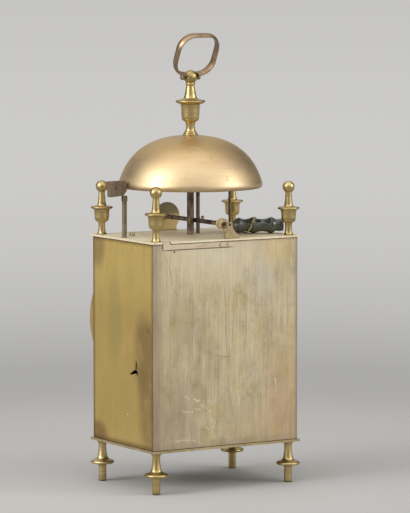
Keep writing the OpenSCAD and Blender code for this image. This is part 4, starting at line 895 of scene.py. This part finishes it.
def trackTree():
    tree, given = newTree("marksInARing", Count="Int", Radius="Float", Wide="Float", Long="Float",
                          Thick="Float")
    ring = built(tree, "GeometryNodeMeshCircle", {"Vertices": given["Count"], "Radius": given["Radius"]})
    size = built(tree, "ShaderNodeCombineXYZ", {"X": given["Long"], "Y": given["Wide"], "Z": given["Thick"]})
    mark = built(tree, "GeometryNodeMeshCube", {"Size": size.outputs[0]})
    step = maths(tree, "DIVIDE", 2 * math.pi, given["Count"])
    turn = maths(tree, "MULTIPLY", built(tree, "GeometryNodeInputIndex").outputs[0], step)
    angle = built(tree, "ShaderNodeCombineXYZ", {"Z": turn})
    stand = built(tree, "GeometryNodeInstanceOnPoints",
                  {"Points": ring.outputs[0], "Instance": mark.outputs[0], "Rotation": angle.outputs[0]})
    return closeTree(tree, given, stand.outputs[0])


def makeFigures(d):
    black = agedBrass("figureBlack", lookOf((34, 32, 32), (44, 42, 42), (24, 22, 22), (90, 86, 80),
                                            grain=(60, 60, 60), rough=0.3, metal=0.0, bump=0.02))
    tree = trackTree()
    (inner, outer), thick = d["track"], d["proud"]
    pieces = [makeFigure(d, word, 2 * math.pi * k / len(d["figures"]))
              for k, word in enumerate(d["figures"])]
    for count, wide in ((d["minutes"], d["minuteWide"]), (len(d["figures"]), d["hourWide"])):
        values = {"Count": count, "Radius": (inner + outer) / 2 * mm, "Wide": wide * mm,
                  "Long": (outer - inner) * mm, "Thick": thick * mm, "Finish": black}
        pieces.append(withInputs(meshPiece("marks", [(0, 0, 0)], []), tree, values))
    for r in d["track"]:
        line = [(r, -thick / 2), (r + d["line"], -thick / 2), (r + d["line"], thick / 2), (r, thick / 2)]
        pieces.append(lathe("circle", line + [line[0]], 180))
    figures = onDial(joined("dialFigures", pieces), d)
    place(figures, bodyOf["dial"], slotOf["dial"], black)


makeFigures(dial)
print("dial figures set")


# Cord, twisted from three strands
def windPoint(c, i):
    k, forward = i / c["perTurn"], c["turns"]
    turn = min(1, max(0, (k - forward) * 2))
    r = c["inner"] + (c["outer"] - c["inner"]) * turn
    y = -k if k < forward else max(0, k - forward - 0.5) * forward / c["back"] - forward
    a = math.pi - 2 * math.pi * k
    return (c["pull"][0] + r * math.cos(a), c["windY"] + y * c["pitch"], c["pull"][1] + r * math.sin(a))


def cordRoute(c):
    wound = [windPoint(c, i) for i in range(int(c["perTurn"] * (c["turns"] + 0.5 + c["back"])) + 1)]
    deck, axis = deckTop + c["diameter"] / 2 + c["offDeck"], c["pull"][1]
    free = [(-1.3, 33.5, axis - 3.5), (-2.5, 33.1, axis - 5.1), (-3.7, 32.1, deck + 1.95),
            (-5.2, 30.3, deck + 0.6), (-6.9, 27.9, deck + 0.05), (-8.85, 23.5, deck), (-11.95, 18.9, deck),
            (-15.1, 14.3, deck), (-18.2, 9.75, deck), (-21.05, 6.05, deck), (-24.35, 3.3, deck),
            (-27.75, 2.05, deck), (-31, 2.3, deck), (-33.25, 3.95, deck), (-34.5, 6.3, deck),
            (-34.8, 8.75, deck), (-34.15, 10.65, deck), (-33.25, 12.75, deck + 0.2), (-32.95, 14.4, deck + 1),
            (-32.95, 15.9, deck + 2.15), (-33.2, 17.15, deck + 3.7), (-33.7, 17.9, deck + 5.55),
            (-34.5, 18.05, deck + 7.6), (-35.5, 17.55, deck + 9.3), (-36.65, 16.4, deck + 10.25),
            (-37.35, 15.75, deck + 10.55), (-38.1, 15.05, deck + 10.35), (-38.75, 14.55, deck + 9.8),
            (-39.15, 14.25, deck + 8.95)]
    return [tuple(v * mm for v in p) for p in wound + free]


def lineLength(points):
    return sum((Vector(a) - Vector(b)).length for a, b in zip(points, points[1:]))


def cordMaterial():
    s = Shader("twistedCord")
    worn = s.between(s.noise(260, 4, 0.6), 0.35, 0.7)
    colour = s.blend(worn, tone(226, 204, 154), tone(164, 132, 84))
    colour = s.blend(s.between(s.noise(900, 2), 0.55, 0.75), colour, tone(96, 66, 34))
    return s.surface({"Base Color": colour, "Roughness": 0.75, "Sheen Weight": 0.3,
                      "Normal": s.bump(s.noise(2600, 2), 0.4, 0.0001)})


# Node tree that lays twisted strands along a curve
def strandTree(c):
    tree, given = newTree("twistedStrands", Diameter="Float", Lay="Float", Step="Float", Strands="Int")
    even = built(tree, "GeometryNodeResampleCurve", {"Curve": given["Geometry"], "Length": given["Step"]},
                 mode="LENGTH")
    spline = built(tree, "GeometryNodeSplineParameter").outputs
    turns = maths(tree, "DIVIDE", spline["Length"], given["Lay"])
    twist = built(tree, "GeometryNodeSetCurveTilt",
                  {"Curve": even.outputs[0], "Tilt": maths(tree, "MULTIPLY", turns, 2 * math.pi)})
    radius = maths(tree, "MULTIPLY", given["Diameter"], c["body"])
    rim = built(tree, "GeometryNodeCurvePrimitiveCircle", {"Resolution": c["sides"], "Radius": radius})
    around = built(tree, "GeometryNodeSplineParameter").outputs["Factor"]
    angle = maths(tree, "MULTIPLY", maths(tree, "MULTIPLY", around, 2 * math.pi), given["Strands"])
    swell = maths(tree, "ADD", maths(tree, "MULTIPLY", maths(tree, "COSINE", angle), c["swell"]), 1)
    spot = built(tree, "GeometryNodeInputPosition")
    grown = built(tree, "ShaderNodeVectorMath", {0: spot.outputs[0], "Scale": swell}, operation="SCALE")
    shape = built(tree, "GeometryNodeSetPosition", {"Geometry": rim.outputs[0], "Position": grown.outputs[0]})
    tube = built(tree, "GeometryNodeCurveToMesh",
                 {"Fill Caps": True, "Curve": twist.outputs[0], "Profile Curve": shape.outputs[0]})
    return closeTree(tree, given, tube.outputs[0])


def makeCord(c):
    route = cordRoute(c)
    data = bpy.data.curves.new("pullCordLine", "CURVE")
    data.dimensions = "3D"
    line = data.splines.new("POLY")
    line.points.add(len(route) - 1)
    for point, p in zip(line.points, route):
        point.co = (*p, 1)
    material = cordMaterial()
    values = {"Diameter": c["diameter"] * mm, "Lay": c["lay"] * mm, "Step": c["step"] * mm,
              "Strands": c["strands"], "Finish": material}
    piece = withInputs(linked("cordTwist", data), strandTree(c), values)
    piece.name = "cordTwisted"
    for f in piece.data.polygons:
        f.use_smooth = True
    place(piece, "root", "cord", material, "pull_cord")
    print("cord", round(lineLength(route), 4), "m")


makeCord(cord)


# Floor, lights and world
# greys of the floor by distance from the clock in metres: darker around the clock, a painted broad shade, and
# paler further out
backdrop = {"half": 30000, "fade": (0.25, 0.6), "reach": 16, "ease": 0.3,
            "greys": [(0.0, 178), (0.12, 173), (0.27, 167), (0.44, 166), (0.63, 172), (1.1, 190), (1.8, 200),
                      (2.75, 204), (5.5, 203), (9, 200), (15.2, 198)]}


def makeFloor(b):
    w = b["half"]
    floor = meshPiece("floor", [(-w, -w, 0), (w, -w, 0), (w, w, 0), (-w, w, 0)], [(0, 1, 2, 3)], False)
    s = Shader("paleFloor")
    away = s.add("ShaderNodeVectorMath", {0: s.where}, operation="LENGTH").outputs["Value"]
    ramp = s.add("ShaderNodeValToRGB", {"Fac": s.sum("POWER", s.sum("DIVIDE", away, b["reach"]), b["ease"])})
    stops, grey = ramp.color_ramp.elements, ramp.outputs["Color"]
    stops[0].position, stops[1].position = 0, 1
    for i, (r, level) in enumerate(b["greys"]):
        stop = stops[0] if i == 0 else stops.new((r / b["reach"]) ** b["ease"])
        stop.color = tone(level, level - 1, level - 3)
    stops[-1].color = stop.color
    s.surface({"Base Color": grey, "Roughness": 0.9, "Specular IOR Level": 0.1})
    glow = s.add("ShaderNodeEmission", {"Color": grey})
    ray = s.add("ShaderNodeLightPath").outputs
    seen = s.sum("MAXIMUM", ray["Is Glossy Ray"], ray["Is Transmission Ray"])
    seen = s.times(s.sum("MAXIMUM", ray["Is Camera Ray"], seen), s.between(away, *b["fade"]))
    mix = s.add("ShaderNodeMixShader", {0: seen, 1: s.out.outputs[0], 2: glow.outputs[0]})
    feed(s.tree, s.tree.nodes["Material Output"], {"Surface": mix.outputs[0]})
    floor.data.materials.append(s.material)


def direction(azimuth, elevation):
    a, e = math.radians(azimuth), math.radians(elevation)
    return (math.sin(a) * math.cos(e), -math.cos(a) * math.cos(e), math.sin(e))


def makeLight(name, azimuth, elevation, distance, size, power, aim=(0, 0, 0.15)):
    data = bpy.data.lights.new(name, "AREA")
    data.shape = "DISK"
    data.size = size
    data.energy = power
    lamp = linked(name, data)
    lamp.location = Vector(aim) + distance * Vector(direction(azimuth, elevation))
    lamp.rotation_mode = "QUATERNION"
    lamp.rotation_quaternion = (Vector(aim) - lamp.location).to_track_quat("-Z", "Y")


# Two lamps in an even room with brighter and darker sides, in degrees from the front round to +X
lamps = {"softboxLeft": {"azimuth": 90, "elevation": 26, "distance": 1.3, "size": 0.5, "power": 6},
         "softboxRight": {"azimuth": 224, "elevation": 24, "distance": 1.4, "size": 0.5, "power": 3.4}}
# Each side is its azimuth, elevation, spread and gain, where a gain below 0 darkens
studio = {"level": 0.47, "sides": [(84, 24, 42, 1.35), (218, 8, 54, 0.82), (148, 66, 60, 1.1),
                                   (278, 12, 44, -0.4), (26, 12, 40, -0.36), (340, 44, 30, 0.3),
                                   (150, 10, 34, -0.34)]}


def makeWorld(room):
    world = bpy.data.worlds.new("studio")
    bpy.context.scene.world = world
    world.use_nodes = True
    tree = world.node_tree
    where = built(tree, "ShaderNodeTexCoord").outputs["Generated"]
    total = room["level"]
    for azimuth, elevation, spread, gain in room["sides"]:
        towards = direction(azimuth, elevation)
        facing = built(tree, "ShaderNodeVectorMath", {0: where, 1: towards}, operation="DOT_PRODUCT")
        glow = built(tree, "ShaderNodeMapRange",
                     {"Value": facing.outputs["Value"], "From Min": math.cos(math.radians(spread)),
                      "From Max": 1, "To Max": gain}, interpolation_type="SMOOTHSTEP")
        total = maths(tree, "ADD", total, glow.outputs["Result"])
    feed(tree, tree.nodes["Background"], {"Color": (1, 0.995, 0.985, 1), "Strength": total})


makeFloor(backdrop)
for name, lamp in lamps.items():
    makeLight(name, **lamp)
makeWorld(studio)
print("stage ready")
